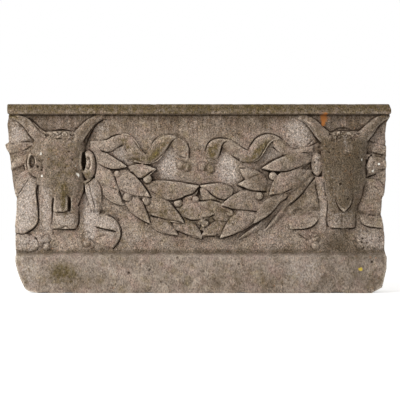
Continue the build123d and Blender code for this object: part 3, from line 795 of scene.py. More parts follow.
# The chisel lines that draw the edges of the forms, by kind, then hollows, rough places, chips and pits
chiselWork = {
    # half width and depth of each kind of line
    "cuts": {"deepLines": (3.2, 8.5), "lightLines": (2.6, 4), "ribbonLines": (2.9, 6.4),
             "endLines": (2.8, 5.6), "skullLines": (2.8, 4.6), "nostrilLines": (6.5, 22),
             "sideNostrilLines": (4.6, 13), "softLines": (10, 7), "undercuts": (3.8, 12)},
    "deepLines": [
        [(-352, -112), (-335, -124), (-328, -145), (-326, -168), (-330, -192), (-342, -210),
         (-358, -222)],
        [(-541, -131), (-548, -150), (-545, -176), (-532, -196), (-518, -204)],
        [(-360, -104), (-354, -82), (-346, -64), (-338, -50), (-330, -37), (-317, -24), (-301, -13)],
        [(-462, -264), (-462, -290), (-466, -315), (-469, -351)],
        [(-474, -56), (-451, -50), (-435, -49), (-410, -53), (-397, -64)],
        [(-365, -213), (-365, -242), (-374, -267), (-384, -293)],
        [(-384, -299), (-382, -325), (-384, -351), (-394, -367), (-410, -367), (-422, -357),
         (-435, -363), (-461, -367)],
        [(538, -203), (570, -191)],
        [(-544, -8), (-525, -31), (-506, -53), (-486, -66)],
        [(-464, -59), (-448, -69), (-435, -61)],
        [(-474, -72), (-454, -79), (-432, -77), (-413, -69)],
        [(-301, -317), (-275, -328), (-256, -347), (-246, -376), (-253, -405), (-272, -431)],
        [(538, -159), (547, -139), (557, -130)],
        [(-227, -181), (-211, -187), (-195, -202), (-182, -216), (-166, -237), (-157, -251),
         (-150, -266)],
        [(-269, -194), (-262, -213), (-254, -239), (-246, -261), (-237, -290)],
        [(-323, -207), (-310, -232), (-307, -258), (-310, -283), (-318, -319)],
        [(-323, -155), (-301, -168), (-275, -176), (-253, -173), (-234, -167)],
        [(-189, -266), (-176, -280), (-166, -303), (-157, -328), (-150, -352)],
        [(-195, -261), (-173, -264), (-150, -266)],
        [(-157, -323), (-128, -330), (-96, -338), (-70, -341), (-45, -349)],
        [(-90, -280), (-77, -296), (-61, -315), (-48, -335), (-43, -347)],
        [(-45, -328), (-26, -338), (0, -338), (26, -330), (51, -322)],
        [(205, -173), (224, -179), (250, -183), (282, -183), (314, -173), (339, -163), (358, -155)],
        [(74, -293), (96, -299), (115, -304), (150, -307), (186, -311)],
        [(179, -347), (198, -338), (224, -325), (246, -303), (266, -280), (282, -271), (288, -261)],
        [(67, -397), (96, -391), (125, -379), (154, -362), (176, -344)],
        [(10, -387), (32, -389), (51, -389), (64, -384)],
        [(-64, -373), (-38, -384), (-13, -389), (13, -398)],
        [(0, -277), (16, -277), (32, -274), (51, -275), (74, -282)],
        [(10, -231), (29, -242), (45, -258), (64, -269), (80, -274)],
        [(227, -258), (250, -256), (275, -250), (304, -237)],
        [(288, -293), (314, -274), (336, -251), (355, -226), (374, -203)],
    ],
    "lightLines": [
        [(19, -178), (26, -165), (35, -155)],
        [(-352, -395), (-339, -405), (-330, -421), (-342, -431)],
        [(336, -376), (352, -383), (362, -395)],
        [(384, -139), (387, -162), (381, -184)],
        [(342, -107), (368, -82)],
        [(58, -283), (77, -303), (102, -315)],
        [(77, -287), (96, -267), (115, -256), (138, -247), (166, -243)],
        [(128, -221), (150, -211), (176, -199), (205, -189)],
        [(-320, -213), (-301, -226), (-278, -235), (-253, -242)],
        [(-310, -229), (-294, -258), (-272, -277), (-237, -290)],
        [(-250, -242), (-227, -251), (-208, -259), (-192, -261)],
        [(-154, -210), (-122, -210), (-96, -211), (-64, -219), (-32, -223), (3, -229)],
        [(-157, -242), (-134, -255), (-118, -264), (-102, -274)],
        [(-90, -341), (-80, -357), (-70, -376), (-64, -387)],
        [(-122, -373), (-102, -381), (-83, -385), (-64, -387)],
        [(-230, -296), (-214, -312), (-192, -331), (-170, -344), (-150, -352)],
        [(-171, -341), (-171, -363)],
        [(-10, -344), (-3, -357), (5, -376)],
        [(-3, -280), (16, -296), (35, -306), (51, -315)],
        [(131, -170), (160, -175), (186, -181), (208, -187)],
        [(6, -226), (32, -223), (58, -221), (83, -224), (109, -232)],
        [(74, -389), (80, -367), (96, -341), (112, -322), (128, -307)],
        [(16, -383), (29, -360), (48, -344), (70, -341), (96, -343)],
        [(214, -370), (230, -347), (246, -328), (262, -306)],
        [(128, -402), (150, -392), (173, -379), (186, -367)],
        [(205, -170), (224, -155), (250, -141), (288, -131)],
        [(326, -203), (342, -187), (358, -168), (374, -155)],
        [(-208, -165), (-186, -165), (-160, -167), (-134, -171)],
        [(45, -335), (64, -341), (96, -344)],
        [(-262, -139), (-243, -159), (-224, -165)],
    ],
    "ribbonLines": [
        [(262, -79), (288, -101), (317, -109), (352, -104), (384, -88)],
        [(-314, -83), (-291, -79), (-275, -69), (-256, -64), (-234, -67), (-214, -72), (-202, -88),
         (-189, -107), (-173, -128)],
        [(-173, -130), (-154, -114), (-144, -88), (-128, -75), (-106, -66), (-90, -64), (-64, -71),
         (-42, -85), (-29, -107), (-29, -133), (-32, -143)],
        [(-218, -130), (-205, -141), (-186, -149), (-163, -154), (-144, -152), (-122, -136),
         (-102, -111), (-86, -88), (-70, -75)],
        [(-86, -98), (-74, -117), (-58, -133), (-38, -139)],
        [(-314, -114), (-294, -122), (-275, -117), (-259, -106), (-243, -98)],
        [(35, -146), (26, -123), (26, -107), (35, -88), (51, -79), (70, -75), (96, -79), (115, -88),
         (134, -101), (157, -114)],
        [(35, -151), (51, -146), (64, -136), (74, -114), (80, -95), (96, -82)],
        [(96, -117), (112, -133), (131, -146), (150, -152), (173, -151), (195, -139), (211, -114),
         (224, -91), (243, -77)],
        [(157, -114), (173, -91), (186, -75), (205, -64), (230, -61), (256, -69), (275, -85),
         (294, -101)],
        [(237, -101), (256, -117), (275, -133)],
    ],
    "endLines": [
        [(-570, -386), (-550, -381), (-528, -389), (-512, -410), (-516, -434)],
        [(-514, -216), (-518, -242), (-515, -274), (-512, -306), (-512, -338), (-522, -360),
         (-538, -373), (-557, -383), (-586, -386)],
        [(-608, -95), (-582, -91), (-557, -88), (-534, -85)],
        [(-595, -123), (-563, -117), (-534, -101)],
        [(-598, -175), (-570, -165), (-547, -152)],
        [(-579, -258), (-563, -239), (-544, -210)],
        [(-350, -216), (-344, -246), (-336, -276), (-330, -300)],
        [(-333, -360), (-298, -368), (-272, -371)],
        [(-330, -395), (-314, -391), (-294, -386)],
        [(378, -203), (378, -235), (387, -274), (390, -312), (384, -338), (368, -360), (336, -368),
         (301, -367)],
        [(314, -379), (336, -392), (352, -402), (368, -395), (384, -389)],
        [(547, -85), (576, -93), (602, -101)],
        [(557, -120), (582, -127), (602, -127)],
        [(586, -136), (602, -120)],
        [(538, -210), (531, -242), (522, -274), (512, -296), (515, -322), (525, -344), (544, -360),
         (566, -363), (589, -367)],
        [(525, -315), (557, -322), (586, -328)],
        [(550, -219), (579, -242)],
    ],
    "skullLines": [
        [(-534, -114), (-546, -133), (-547, -162), (-541, -187), (-528, -203), (-515, -210)],
        [(368, -127), (363, -146), (363, -171), (371, -191), (387, -200)],
        [(-448, -311), (-432, -312), (-416, -309)],
        [(-538, -8), (-518, -31), (-499, -53), (-486, -66)],
        [(442, -242), (440, -267), (445, -290), (454, -306), (464, -311), (477, -304), (488, -290),
         (493, -267), (493, -242)],
        [(410, -261), (416, -290), (413, -322), (413, -344), (419, -360), (438, -365), (461, -360),
         (477, -362), (496, -365), (506, -357), (506, -322), (509, -290), (518, -267)],
        [(461, -315), (461, -357)],
        [(326, -15), (352, -31), (368, -53), (381, -79), (390, -91)],
        [(406, -53), (426, -59), (442, -47), (464, -42), (486, -47), (499, -59), (522, -51)],
        [(544, -101), (550, -79), (560, -56), (576, -40), (595, -24), (608, -15)],
        [(384, -107), (397, -101), (410, -114)],
        [(403, -210), (406, -242), (410, -261)],
        [(531, -203), (531, -229), (528, -248)],
    ],
    "nostrilLines": [
        [(-412, -262), (-411, -275), (-411, -288), (-412, -306)],
    ],
    "undercuts": [
        [(-109, -272), (-83, -277), (-58, -271), (-38, -261), (-19, -256), (-6, -245), (3, -231)],
        [(125, -224), (144, -234), (163, -242), (192, -247), (218, -248)],
        [(-134, -175), (-154, -187), (-173, -202), (-186, -207)],
    ],
    "sideNostrilLines": [
        [(-461, -262), (-463, -285), (-466, -312)],
    ],
    "softLines": [
        [(301, -318), (326, -306), (358, -303), (384, -306)],
        [(-352, -309), (-318, -312), (-292, -312), (-268, -322), (-250, -346)],
        [(508, -312), (540, -318), (588, -322)],
    ],
    # ear hollows and notches in the hair, as (centre, half width, half height, lift of the floor)
    "hollows": [
        ((-482, -66), 9, 6, 24), ((-402, -65), 9, 6, 24), ((424, -62), 7, 6, 24), ((512, -60), 7, 6, 24),
        ((-531, -152), 11, 24, 15.5), ((-366, -150), 9, 33, -6), ((-351, -156), 10, 24, 22),
    ],
    "hairCurls": 34,         # small hooked cuts in each roll of hair
    "curlCut": (3, 6),
    "berryCut": (3, 2.6),    # a shallow line round each berry
    # rough, broken places, as (reach, rise), half width, half height, count of pits and lumps
    "roughPlaces": [
        ((557, -404), 56, 32, 110), ((-545, -408), 56, 30, 90), ((560, -160), 30, 44, 60),
        ((382, -160), 18, 36, 34),
        ((-586, -34), 26, 26, 34), ((-440, -150), 62, 70, 46), ((466, -120), 60, 60, 40),
        ((22, -350), 18, 22, 26), ((590, -400), 20, 60, 30), ((270, -340), 60, 60, 40),
        ((-510, -590), 100, 14, 40), ((0, -300), 300, 90, 70), ((0, 16), 610, 14, 90),
        ((0, -510), 600, 50, 60),
    ],
    "pitCount": 90,          # small pits scattered over the ground and the plinth
    "pitSize": (3, 5),
    "chipCount": 70,         # small losses along the long front edges
    "chipSize": (4, 11),
    "chipSeed": 5,
    "chipReach": (-600, 600),
    "pitReach": (-590, 590),
    "pitRises": [(-560, -455), (-440, -20)],      # on the plinth, and on the carved field
    "pitDepth": (2, 4),
    "roughSize": (2.6, 5.5),
    "roughDepth": (-1.6, 3.0),
    # long edges that lose chips, as (y, z, which way up the loss goes); the top one counts twice
    "chippedEdges": [(-67, 605, -1), (-67, 605, -1), (-65, 0, 1), (-67, 573, 0.4)],
    # single pits, as (centre, radius, depth)
    "pits": [
        ((-512, -168), 5, 8), ((-507, -149), 4.25, 6.4), ((-499, -178), 5.5, 8), ((-494, -146), 3.5, 4.8),
        ((-410, -120), 4, 6.4), ((-400, -146), 4.5, 6.4), ((-422, -171), 3.5, 4.8), ((-442, -187), 4, 4.8),
        ((397, -114), 5, 6.4), ((410, -104), 6.25, 6.4), ((419, -123), 3.75, 6.4), ((432, -111), 5, 4.8),
        ((454, -223), 5.5, 8), ((486, -184), 3.5, 4.8), ((512, -139), 4, 4.8), ((477, -271), 3.75, 4.8),
        ((-275, -456), 6.25, 6.4), ((-221, -507), 6.25, 6.4), ((-154, -498), 6.25, 6.4),
        ((-118, -536), 5, 4.8),
        ((-64, -459), 6.25, 6.4), ((131, -479), 5, 4.8), ((557, -472), 6.25, 6.4), ((-499, -149), 5, 4.8),
        ((-496, -171), 5, 6.4), ((-474, -171), 5, 4.8), ((400, -111), 5, 4.8), ((416, -120), 5, 4.8),
    ],
}


# distance in mm from each point to the straight run between two others
def awayFrom(reach, rise, a, b):
    run = b - a
    along = np.clip(((reach - a[0]) * run[0] + (rise - a[1]) * run[1]) / (run @ run + 1e-9), 0, 1)
    return np.hypot(reach - a[0] - along * run[0], rise - a[1] - along * run[1])


# every line to be cut, as (points, half width, depth)
def chiselCuts():
    cuts = [(points, *cut) for kind, cut in chiselWork["cuts"].items() for points in chiselWork[kind]]
    arcs = [(x, z, radius + 1, [2 * math.pi * k / 12 for k in range(13)], chiselWork["berryCut"])
            for (x, z), radius in berries["swag"] + berries["ground"]]
    random.seed(skullShape["seed"])
    for side in ("left", "right"):
        middle = skullShape[side]["middle"]
        for _ in range(chiselWork["hairCurls"]):
            x = middle + random.uniform(-42, 42)
            z = -68 - 0.006 * (x - middle) ** 2 + random.uniform(-9, 9)
            size, start = random.uniform(3, 6), random.uniform(0, 2 * math.pi)
            arcs.append((x, z, size, [start + 0.9 * k for k in range(4)], chiselWork["curlCut"]))
    for x, z, size, turns, cut in arcs:
        cuts.append(([(x + size * math.cos(t), z + size * math.sin(t)) for t in turns], *cut))
    return cuts


def cutLine(push, front, reach, rise, points, half, depth):
    path = smoothPath(points, 4)
    # the chisel enters and leaves each line gently, and bites unevenly
    share = np.linspace(0, 1, len(path))
    bite = np.clip(np.minimum(share, 1 - share) * 7 + 0.2, 0, 1)
    bite *= 0.85 + 0.22 * np.sin(share * 9 + points[0][0])
    low, high = path.min(0) - half, path.max(0) + half
    near = front & (reach > low[0]) & (reach < high[0]) & (rise > low[1]) & (rise < high[1])
    at = np.nonzero(near)[0]
    gap, force = np.full(len(at), 1e9), np.ones(len(at))
    for a, b, here in zip(path[:-1], path[1:], bite):
        off = awayFrom(reach[at], rise[at], a, b)
        force = np.where(off < gap, here, force)
        gap = np.minimum(gap, off)
    cut = force * depth * np.clip(1 - (gap / half) ** 2, 0, 1) ** 1.2
    push[at] = np.maximum(push[at], cut)


def scatteredPits():
    random.seed(chiselWork["chipSeed"])
    pits = []
    for _ in range(chiselWork["pitCount"]):
        x = random.uniform(*chiselWork["pitReach"])
        z = random.choice([random.uniform(*rises) for rises in chiselWork["pitRises"]])
        pits.append(((x, z), random.uniform(*chiselWork["pitSize"]),
                     random.uniform(*chiselWork["pitDepth"])))
    return pits


def roughen(co, front, reach, rise):
    for (x, z), halfWidth, halfHeight, count in chiselWork["roughPlaces"]:
        for _ in range(count):
            turn, out = random.uniform(0, 2 * math.pi), math.sqrt(random.random())
            spot = (x + halfWidth * out * math.cos(turn), z + halfHeight * out * math.sin(turn))
            size, depth = random.uniform(*chiselWork["roughSize"]), random.uniform(*chiselWork["roughDepth"])
            at = np.nonzero(front & (abs(reach - spot[0]) < size) & (abs(rise - spot[1]) < size))[0]
            gap = np.hypot(reach[at] - spot[0], rise[at] - spot[1]) / size
            co[at, 1] += depth * np.clip(1 - gap**2, 0, 1)


def chipEdges(co):
    for _ in range(chiselWork["chipCount"]):
        along = random.uniform(*chiselWork["chipReach"])
        edgeY, edgeZ, back = random.choice(chiselWork["chippedEdges"])
        size = random.uniform(*chiselWork["chipSize"])
        away = np.sqrt(((co[:, 0] - along) / 1.8) ** 2 + (co[:, 1] - edgeY) ** 2 + (co[:, 2] - edgeZ) ** 2)
        gap = away / size
        loss = 0.45 * size * np.clip(1 - gap**2, 0, 1)
        co[:, 1] += loss * 0.7
        co[:, 2] += loss * 0.7 * back


def carve(mesh):
    co = meshPoints(mesh)
    reach, rise = co[:, 0], co[:, 2] - filletUnderside
    front = co[:, 1] < blockShape["groundY"] + 12
    push = np.zeros(len(co))
    for points, half, depth in chiselCuts():
        cutLine(push, front, reach, rise, points, half, depth)
    for centre, halfWidth, halfHeight, floor in chiselWork["hollows"]:
        gap = np.hypot((reach - centre[0]) / halfWidth, (rise - centre[1]) / halfHeight)
        wall = np.clip((1 - gap) / 0.3, 0, 1)
        above = np.clip(blockShape["groundY"] - co[:, 1] - floor, 0, None)
        push = np.maximum(push, np.where(front, above * wall * (3 * wall - 2 * wall**2), 0))
    for centre, radius, depth in chiselWork["pits"] + scatteredPits():
        gap = np.hypot(reach - centre[0], rise - centre[1]) / radius
        push = np.maximum(push, np.where(front, depth * np.clip(1 - gap**2, 0, 1), 0))
    co[:, 1] += push
    random.seed(chiselWork["chipSeed"])
    roughen(co, front, reach, rise)
    chipEdges(co)
    movePoints(mesh, co)


trimEnds(stoneMesh)
settle(stoneMesh)
carve(stoneMesh)
print("chisel lines cut")

# Weathering: slow waves, a coarse grain and small pits, pushed along the surface
weatherShape = {"Wave Depth": 1.6, "Wave Size": 60, "Grain Depth": 0.7, "Grain Size": 7, "Pit Depth": 1.3,
                "Pit Size": 16}


def makeWeatherTree():
    tree, sizes = newTree("weathering", {name: value * mm for name, value in weatherShape.items()})
    total = None
    normal = addNode(tree, "GeometryNodeInputNormal").outputs[0]
    where = addNode(tree, "GeometryNodeInputPosition").outputs[0]
    for name, detail, seed in (("Wave", 2, 4.0), ("Grain", 3, 11.0), ("Pit", 0, 23.0)):
        scale = addNode(tree, "ShaderNodeMath", {0: 1.0, 1: sizes[name + " Size"]}, operation="DIVIDE")
        noise = addNode(tree, "ShaderNodeTexNoise", {"Vector": where, "W": seed, "Scale": scale.outputs[0],
                                                     "Detail": detail}, noise_dimensions="4D")
        if name == "Pit":        # only the deepest dips of the noise become pits
            shaped = addNode(tree, "ShaderNodeMapRange", {"Value": noise.outputs[0], "From Min": 0.22,
                                                          "From Max": 0.34, "To Min": -1.0, "To Max": 0.0})
        else:
            shaped = addNode(tree, "ShaderNodeMath", {0: noise.outputs[0], 1: 0.5}, operation="SUBTRACT")
        push = addNode(tree, "ShaderNodeMath", {0: shaped.outputs[0], 1: sizes[name + " Depth"]},
                       operation="MULTIPLY")
        if total is None:
            total = push
        else:
            total = addNode(tree, "ShaderNodeMath", {0: total.outputs[0], 1: push.outputs[0]},
                            operation="ADD")
    move = addNode(tree, "ShaderNodeVectorMath", {0: normal, "Scale": total.outputs[0]}, operation="SCALE")
    worn = addNode(tree, "GeometryNodeSetPosition", {"Geometry": sizes["Geometry"],
                                                     "Offset": move.outputs[0]})
    endTree(tree, worn.outputs[0], sizes["Material"])
    return tree


stoneMesh = runTree(makeWeatherTree(), stoneMesh, {"Wave Depth": weatherShape["Wave Depth"] * mm})
heightMap = makeHeightMap(stoneMesh)
stoneMesh = evaluated(stoneMesh, "DECIMATE", ratio=blockShape["triangles"] / (2 * len(stoneMesh.polygons)))


# thinning leaves a few loose faces behind: only the one stone is kept
def keepOneStone(mesh):
    shape = bmesh.new()
    shape.from_mesh(mesh)
    seen, stone = set(), set()
    for start in shape.verts:
        if start in seen:
            continue
        group, waiting = {start}, [start]
        while waiting:
            for edge in waiting.pop().link_edges:
                for point in edge.verts:
                    if point not in group:
                        group.add(point)
                        waiting.append(point)
        seen |= group
        if len(group) > len(stone):
            stone = group
    loose = [point for point in shape.verts if point not in stone]
    bmesh.ops.delete(shape, geom=loose, context="VERTS")
    print("loose points removed:", len(loose))
    shape.to_mesh(mesh)
    shape.free()


keepOneStone(stoneMesh)
print("thinned to", len(stoneMesh.polygons), "triangles")

# Outlines inside which the weather has left its colour, with some painted shadows and highlights among them:
# strength, softness of the rim, the outline
weatherAndLightOutlines = {
    "paleWearAndHighlight": [
        (1, 8, [(-365, -232), (-339, -223), (-323, -261), (-317, -319), (-330, -395), (-362, -395),
                (-368, -312)]),
        (0.7, 10, [(-333, -319), (-278, -322), (-253, -351), (-262, -373), (-320, -360)]),
        (0.45, 30, [(-314, -363), (-154, -357), (-74, -411), (-250, -424)]),
        # pale streak down the right skull's brow: a painted highlight
        (0.6, 8, [(461, -66), (477, -66), (483, -120), (467, -120)]),
        (0.45, 24, [(166, -344), (205, -319), (250, -335), (237, -402), (182, -405)]),
        (0.55, 24, [(317, -472), (384, -456), (400, -530), (326, -546)]),
        (0.4, 24, [(-339, -472), (-256, -466), (-250, -517), (-333, -523)]),
        (0.5, 10, [(205, -114), (237, -91), (269, -114), (275, -146), (211, -146)]),
        (0.35, 6, [(422, -171), (435, -171), (442, -322), (429, -322)]),
        (0.3, 6, [(509, -178), (522, -178), (512, -290), (502, -290)]),
        (0.35, 9, [(-608, 37), (-474, 30), (-435, 8), (-608, 5)]),
        (0.3, 9, [(-250, 17), (6, 21), (102, 8), (-218, 3)]),
        (0.35, 9, [(294, 33), (358, 37), (378, 8), (282, 8)]),
        (0.3, 9, [(486, 24), (598, 27), (608, 8), (493, 8)]),
        (0.55, 25, [(-582, -456), (-506, -463), (-512, -552), (-550, -559), (-576, -498)]),
        (0.55, 25, [(282, -459), (397, -472), (384, -536), (314, -543), (275, -504)]),
        (0.45, 19, [(-627, -11), (-589, -5), (-557, -21), (-589, -27)]),
        (0.3, 32, [(-314, -466), (-186, -459), (-154, -498), (-282, -517)]),
        (1, 16, [(-85, -104), (-131, -148), (-124, -203), (-99, -210), (-71, -210), (-64, -166),
                 (-76, -125)]),
        (1, 16, [(75, -118), (102, -130), (125, -157), (132, -189), (125, -216), (84, -219), (66, -203),
                 (61, -157)]),
        (0.8, 12, [(235, -98), (267, -127), (237, -143), (212, -152), (198, -146), (214, -114)]),
        (0.85, 12, [(-277, -120), (-240, -98), (-229, -130), (-213, -155), (-250, -155)]),
        (0.95, 22, [(278, -27), (310, -11), (350, -21), (371, -67), (362, -91), (326, -104), (294, -91),
                    (278, -59)]),
        (0.95, 19, [(-602, -24), (-570, -37), (-538, -67), (-528, -85), (-570, -87), (-598, -82)]),
        (0.7, 22, [(-342, -53), (-323, -21), (-291, -21), (-298, -59), (-326, -75)]),
        (1, 19, [(-589, -274), (-562, -223), (-525, -210), (-520, -283), (-515, -325), (-534, -367),
                 (-578, -379), (-587, -331)]),
        (0.85, 22, [(-586, -389), (-531, -383), (-474, -389), (-480, -424), (-570, -437)]),
        (0.9, 25, [(-506, -223), (-474, -235), (-466, -274), (-470, -363), (-499, -379), (-509, -322)]),
        (0.85, 22, [(509, -370), (589, -376), (602, -431), (522, -424)]),
        (0.75, 19, [(-358, -216), (-326, -197), (-314, -267), (-326, -309), (-275, -319), (-256, -354),
                    (-275, -395), (-330, -367), (-342, -315)]),
        (0.7, 16, [(-461, -319), (-394, -315), (-390, -360), (-458, -360)]),
        (0.6, 16, [(387, -216), (413, -216), (416, -357), (387, -357)]),
        (0.5, 16, [(416, -309), (499, -303), (499, -357), (416, -360)]),
        (0.55, 22, [(-538, -133), (-528, -139), (-528, -171), (-541, -168)]),
        (0.7, 9, [(-360, -139), (-346, -139), (-344, -171), (-358, -175)]),
        # pale streak down the right skull's brow: a painted highlight
        (0.6, 12, [(464, -75), (477, -75), (480, -117), (467, -114)]),
        # pale middle of the right skull's left ear: a painted highlight
        (0.7, 12, [(368, -130), (387, -127), (390, -184), (371, -191)]),
        (0.5, 19, [(538, -133), (576, -146), (570, -197), (538, -184)]),
        (0.35, 38, [(-243, -344), (-154, -363), (-154, -427), (-256, -427)]),
        (0.4, 38, [(182, -357), (275, -344), (288, -421), (173, -424)]),
        (0.55, 19, [(531, -66), (582, -43), (595, -88), (538, -101)]),
        (0.5, 16, [(3, -331), (35, -328), (38, -363), (10, -363)]),
        (0.35, 32, [(-282, -178), (-230, -178), (-192, -242), (-179, -290), (-218, -306),
                    (-262, -242)]),
    ],
    "greenFilm": [
        (1, 9, [(-378, 43), (-314, 43), (-301, 21), (-365, 14)]),
        (0.9, 9, [(-218, 43), (-58, 43), (-51, 27), (-205, 24)]),
        (0.9, 9, [(134, 37), (262, 40), (269, 14), (147, 8)]),
        (0.8, 22, [(-477, -472), (-394, -472), (-390, -530), (-474, -533)]),
        (0.8, 6, [(-627, 8), (-595, 5), (-563, -18), (-602, -15)]),
        (0.5, 19, [(384, -114), (416, -107), (422, -210), (390, -203)]),
        (0.72, 12, [(-608, 40), (621, 40), (621, -2), (-608, -2)]),
        (1, 12, [(-224, -136), (-173, -136), (-144, -111), (-122, -91), (-96, -85), (-109, -114),
                 (-134, -146), (-166, -155), (-205, -152)]),
        (0.9, 12, [(22, -114), (35, -95), (58, -88), (70, -85), (64, -120), (48, -146), (29, -139)]),
        (1, 12, [(134, -139), (166, -133), (189, -101), (211, -82), (234, -88), (218, -120),
                 (189, -149), (154, -155)]),
        (0.7, 12, [(-275, -82), (-243, -69), (-218, -85), (-198, -120), (-173, -146), (-205, -139),
                   (-230, -114)]),
        (0.6, 12, [(-70, -152), (-19, -152), (-19, -184), (-64, -181)]),
        (0.6, 12, [(6, -162), (54, -162), (51, -203), (32, -216), (19, -191)]),
        (0.55, 32, [(-90, -274), (-6, -287), (122, -274), (134, -357), (51, -395), (-26, -389),
                    (-154, -344), (-160, -293)]),
        (0.7, 16, [(-179, -191), (-154, -184), (-147, -216), (-166, -229)]),
        (0.45, 40, [(-500, -82), (-378, -82), (-371, -178), (-410, -242), (-454, -242), (-493, -171)]),
        (0.75, 12, [(-442, -216), (-416, -216), (-413, -309), (-438, -309)]),
        (0.75, 12, [(-371, -175), (-339, -178), (-339, -207), (-365, -210)]),
        (0.5, 28, [(-474, -485), (-403, -479), (-397, -523), (-467, -530)]),
        (0.45, 25, [(-339, -242), (-301, -261), (-320, -312), (-339, -293)]),
    ],
    "brownStainAndShade": [
        (0.6, 10, [(448, -146), (496, -146), (496, -242), (474, -303), (451, -261)]),
        (0.45, 8, [(397, -82), (422, -82), (426, -146), (403, -146)]),
        (0.6, 25, [(205, -146), (397, -114), (397, -274), (326, -325), (205, -389), (166, -325),
                   (147, -229)]),
        (0.5, 32, [(-442, -472), (-282, -485), (-314, -549), (-474, -555)]),
        (0.5, 32, [(-154, -504), (134, -517), (134, -562), (-154, -562)]),
        (0.45, 19, [(-166, -197), (-6, -229), (-6, -261), (-154, -242)]),
        (0.55, 22, [(-634, 8), (-595, 8), (-589, -18), (-634, -11)]),
        # painted shadows under the tops of the two curled ribbon feet
        (0.9, 6, [(282, -331), (301, -306), (339, -296), (387, -293), (387, -309), (339, -315),
                  (307, -328)]),
        (0.7, 6, [(-346, -306), (-320, -301), (-291, -312), (-301, -320), (-333, -317)]),
        # dark band in the cove over the plinth: soil and painted shade
        (1, 6, [(-582, -432), (605, -432), (605, -448), (-582, -448)]),
        (1.0, 9, [(-611, 46), (621, 46), (621, 14), (-611, 14)]),
        (0.35, 25, [(-250, 8), (326, 8), (326, -37), (-250, -37)]),
        (0.8, 36, [(-570, -1), (-522, -38), (-486, -69), (-442, -50), (-403, -66), (-355, -24),
                   (-310, -8), (-355, -82), (-356, -203), (-378, -287), (-381, -325), (-467, -299),
                   (-480, -255), (-530, -210), (-540, -110)]),
        (1.3, 22, [(336, -11), (371, -43), (406, -72), (461, -47), (518, -72), (557, -31), (602, -5),
                   (557, -75), (538, -146), (531, -203), (509, -290), (502, -344), (419, -344),
                   (416, -290), (397, -210), (390, -114)]),
        (1.15, 32, [(410, -367), (499, -367), (518, -421), (602, -440), (608, -472), (390, -453)]),
        (0.75, 38, [(397, -472), (602, -472), (595, -555), (390, -562)]),
        # the same band again, softer and wider: soil and painted shade
        (0.4, 19, [(-442, -434), (422, -434), (422, -453), (-442, -453)]),
        (0.5, 16, [(-506, -11), (-339, -11), (-397, -56), (-480, -59)]),
        (0.5, 19, [(416, -11), (557, -11), (525, -53), (435, -53)]),
        (0.5, 19, [(32, -261), (134, -242), (186, -261), (179, -312), (90, -312)]),
        (0.4, 16, [(-147, -229), (-6, -235), (-38, -267), (-122, -264)]),
    ],
}
# How far the averages that find the hollows reach and how deep a full hollow is; how far down the
# drips run
shadeAndWeatherReach = {"fine": (5, 5), "broad": (18, 14), "drips": 150}
# Small spots of lichen, and one painted glint: (reach, rise, radius across, radius up, strength)
lichenSpots = {
    "whiteLichenAndGlint": [(-502, -127, 3.75, 3.5, 1), (-499, -197, 3.75, 3.5, 1), (-386, -191, 4.5, 4.2, 1),
                    # (381, -141) is a painted glint on the ear of the right skull, not lichen
                    (-381, -195, 3.75, 3.5, 1), (-390, -168, 3, 2.8, 1), (381, -141, 3, 8, 0.5),
                    (413, -181, 3.75, 3.5, 1), (579, -159, 4.5, 4.2, 1),
                    (560, -181, 4.5, 4.2, 1), (522, -146, 2.25, 2.1, 1)],
    "orangeLichen": [(407, 1, 9, 7, 0.9), (404, -12, 13, 13, 1), (402, -27, 8, 12, 1)],
    "yellowLichen": [(520, -495, 7, 7, 1)],
}


# how deep each point lies inside an outline, in mm, below zero outside
def depthInside(reach, rise, outline):
    path = smoothPath(list(outline) + [outline[0]], 3)
    inside = np.zeros(len(reach), bool)
    gap = np.full(len(reach), 1e9)
    for a, b in zip(path[:-1], path[1:]):
        crosses = (a[1] > rise) != (b[1] > rise)
        slope = (b[0] - a[0]) / (b[1] - a[1] + 1e-9)
        inside ^= crosses & (reach < a[0] + slope * (rise - a[1]))
        gap = np.minimum(gap, awayFrom(reach, rise, a, b))
    return np.where(inside, gap, -gap)


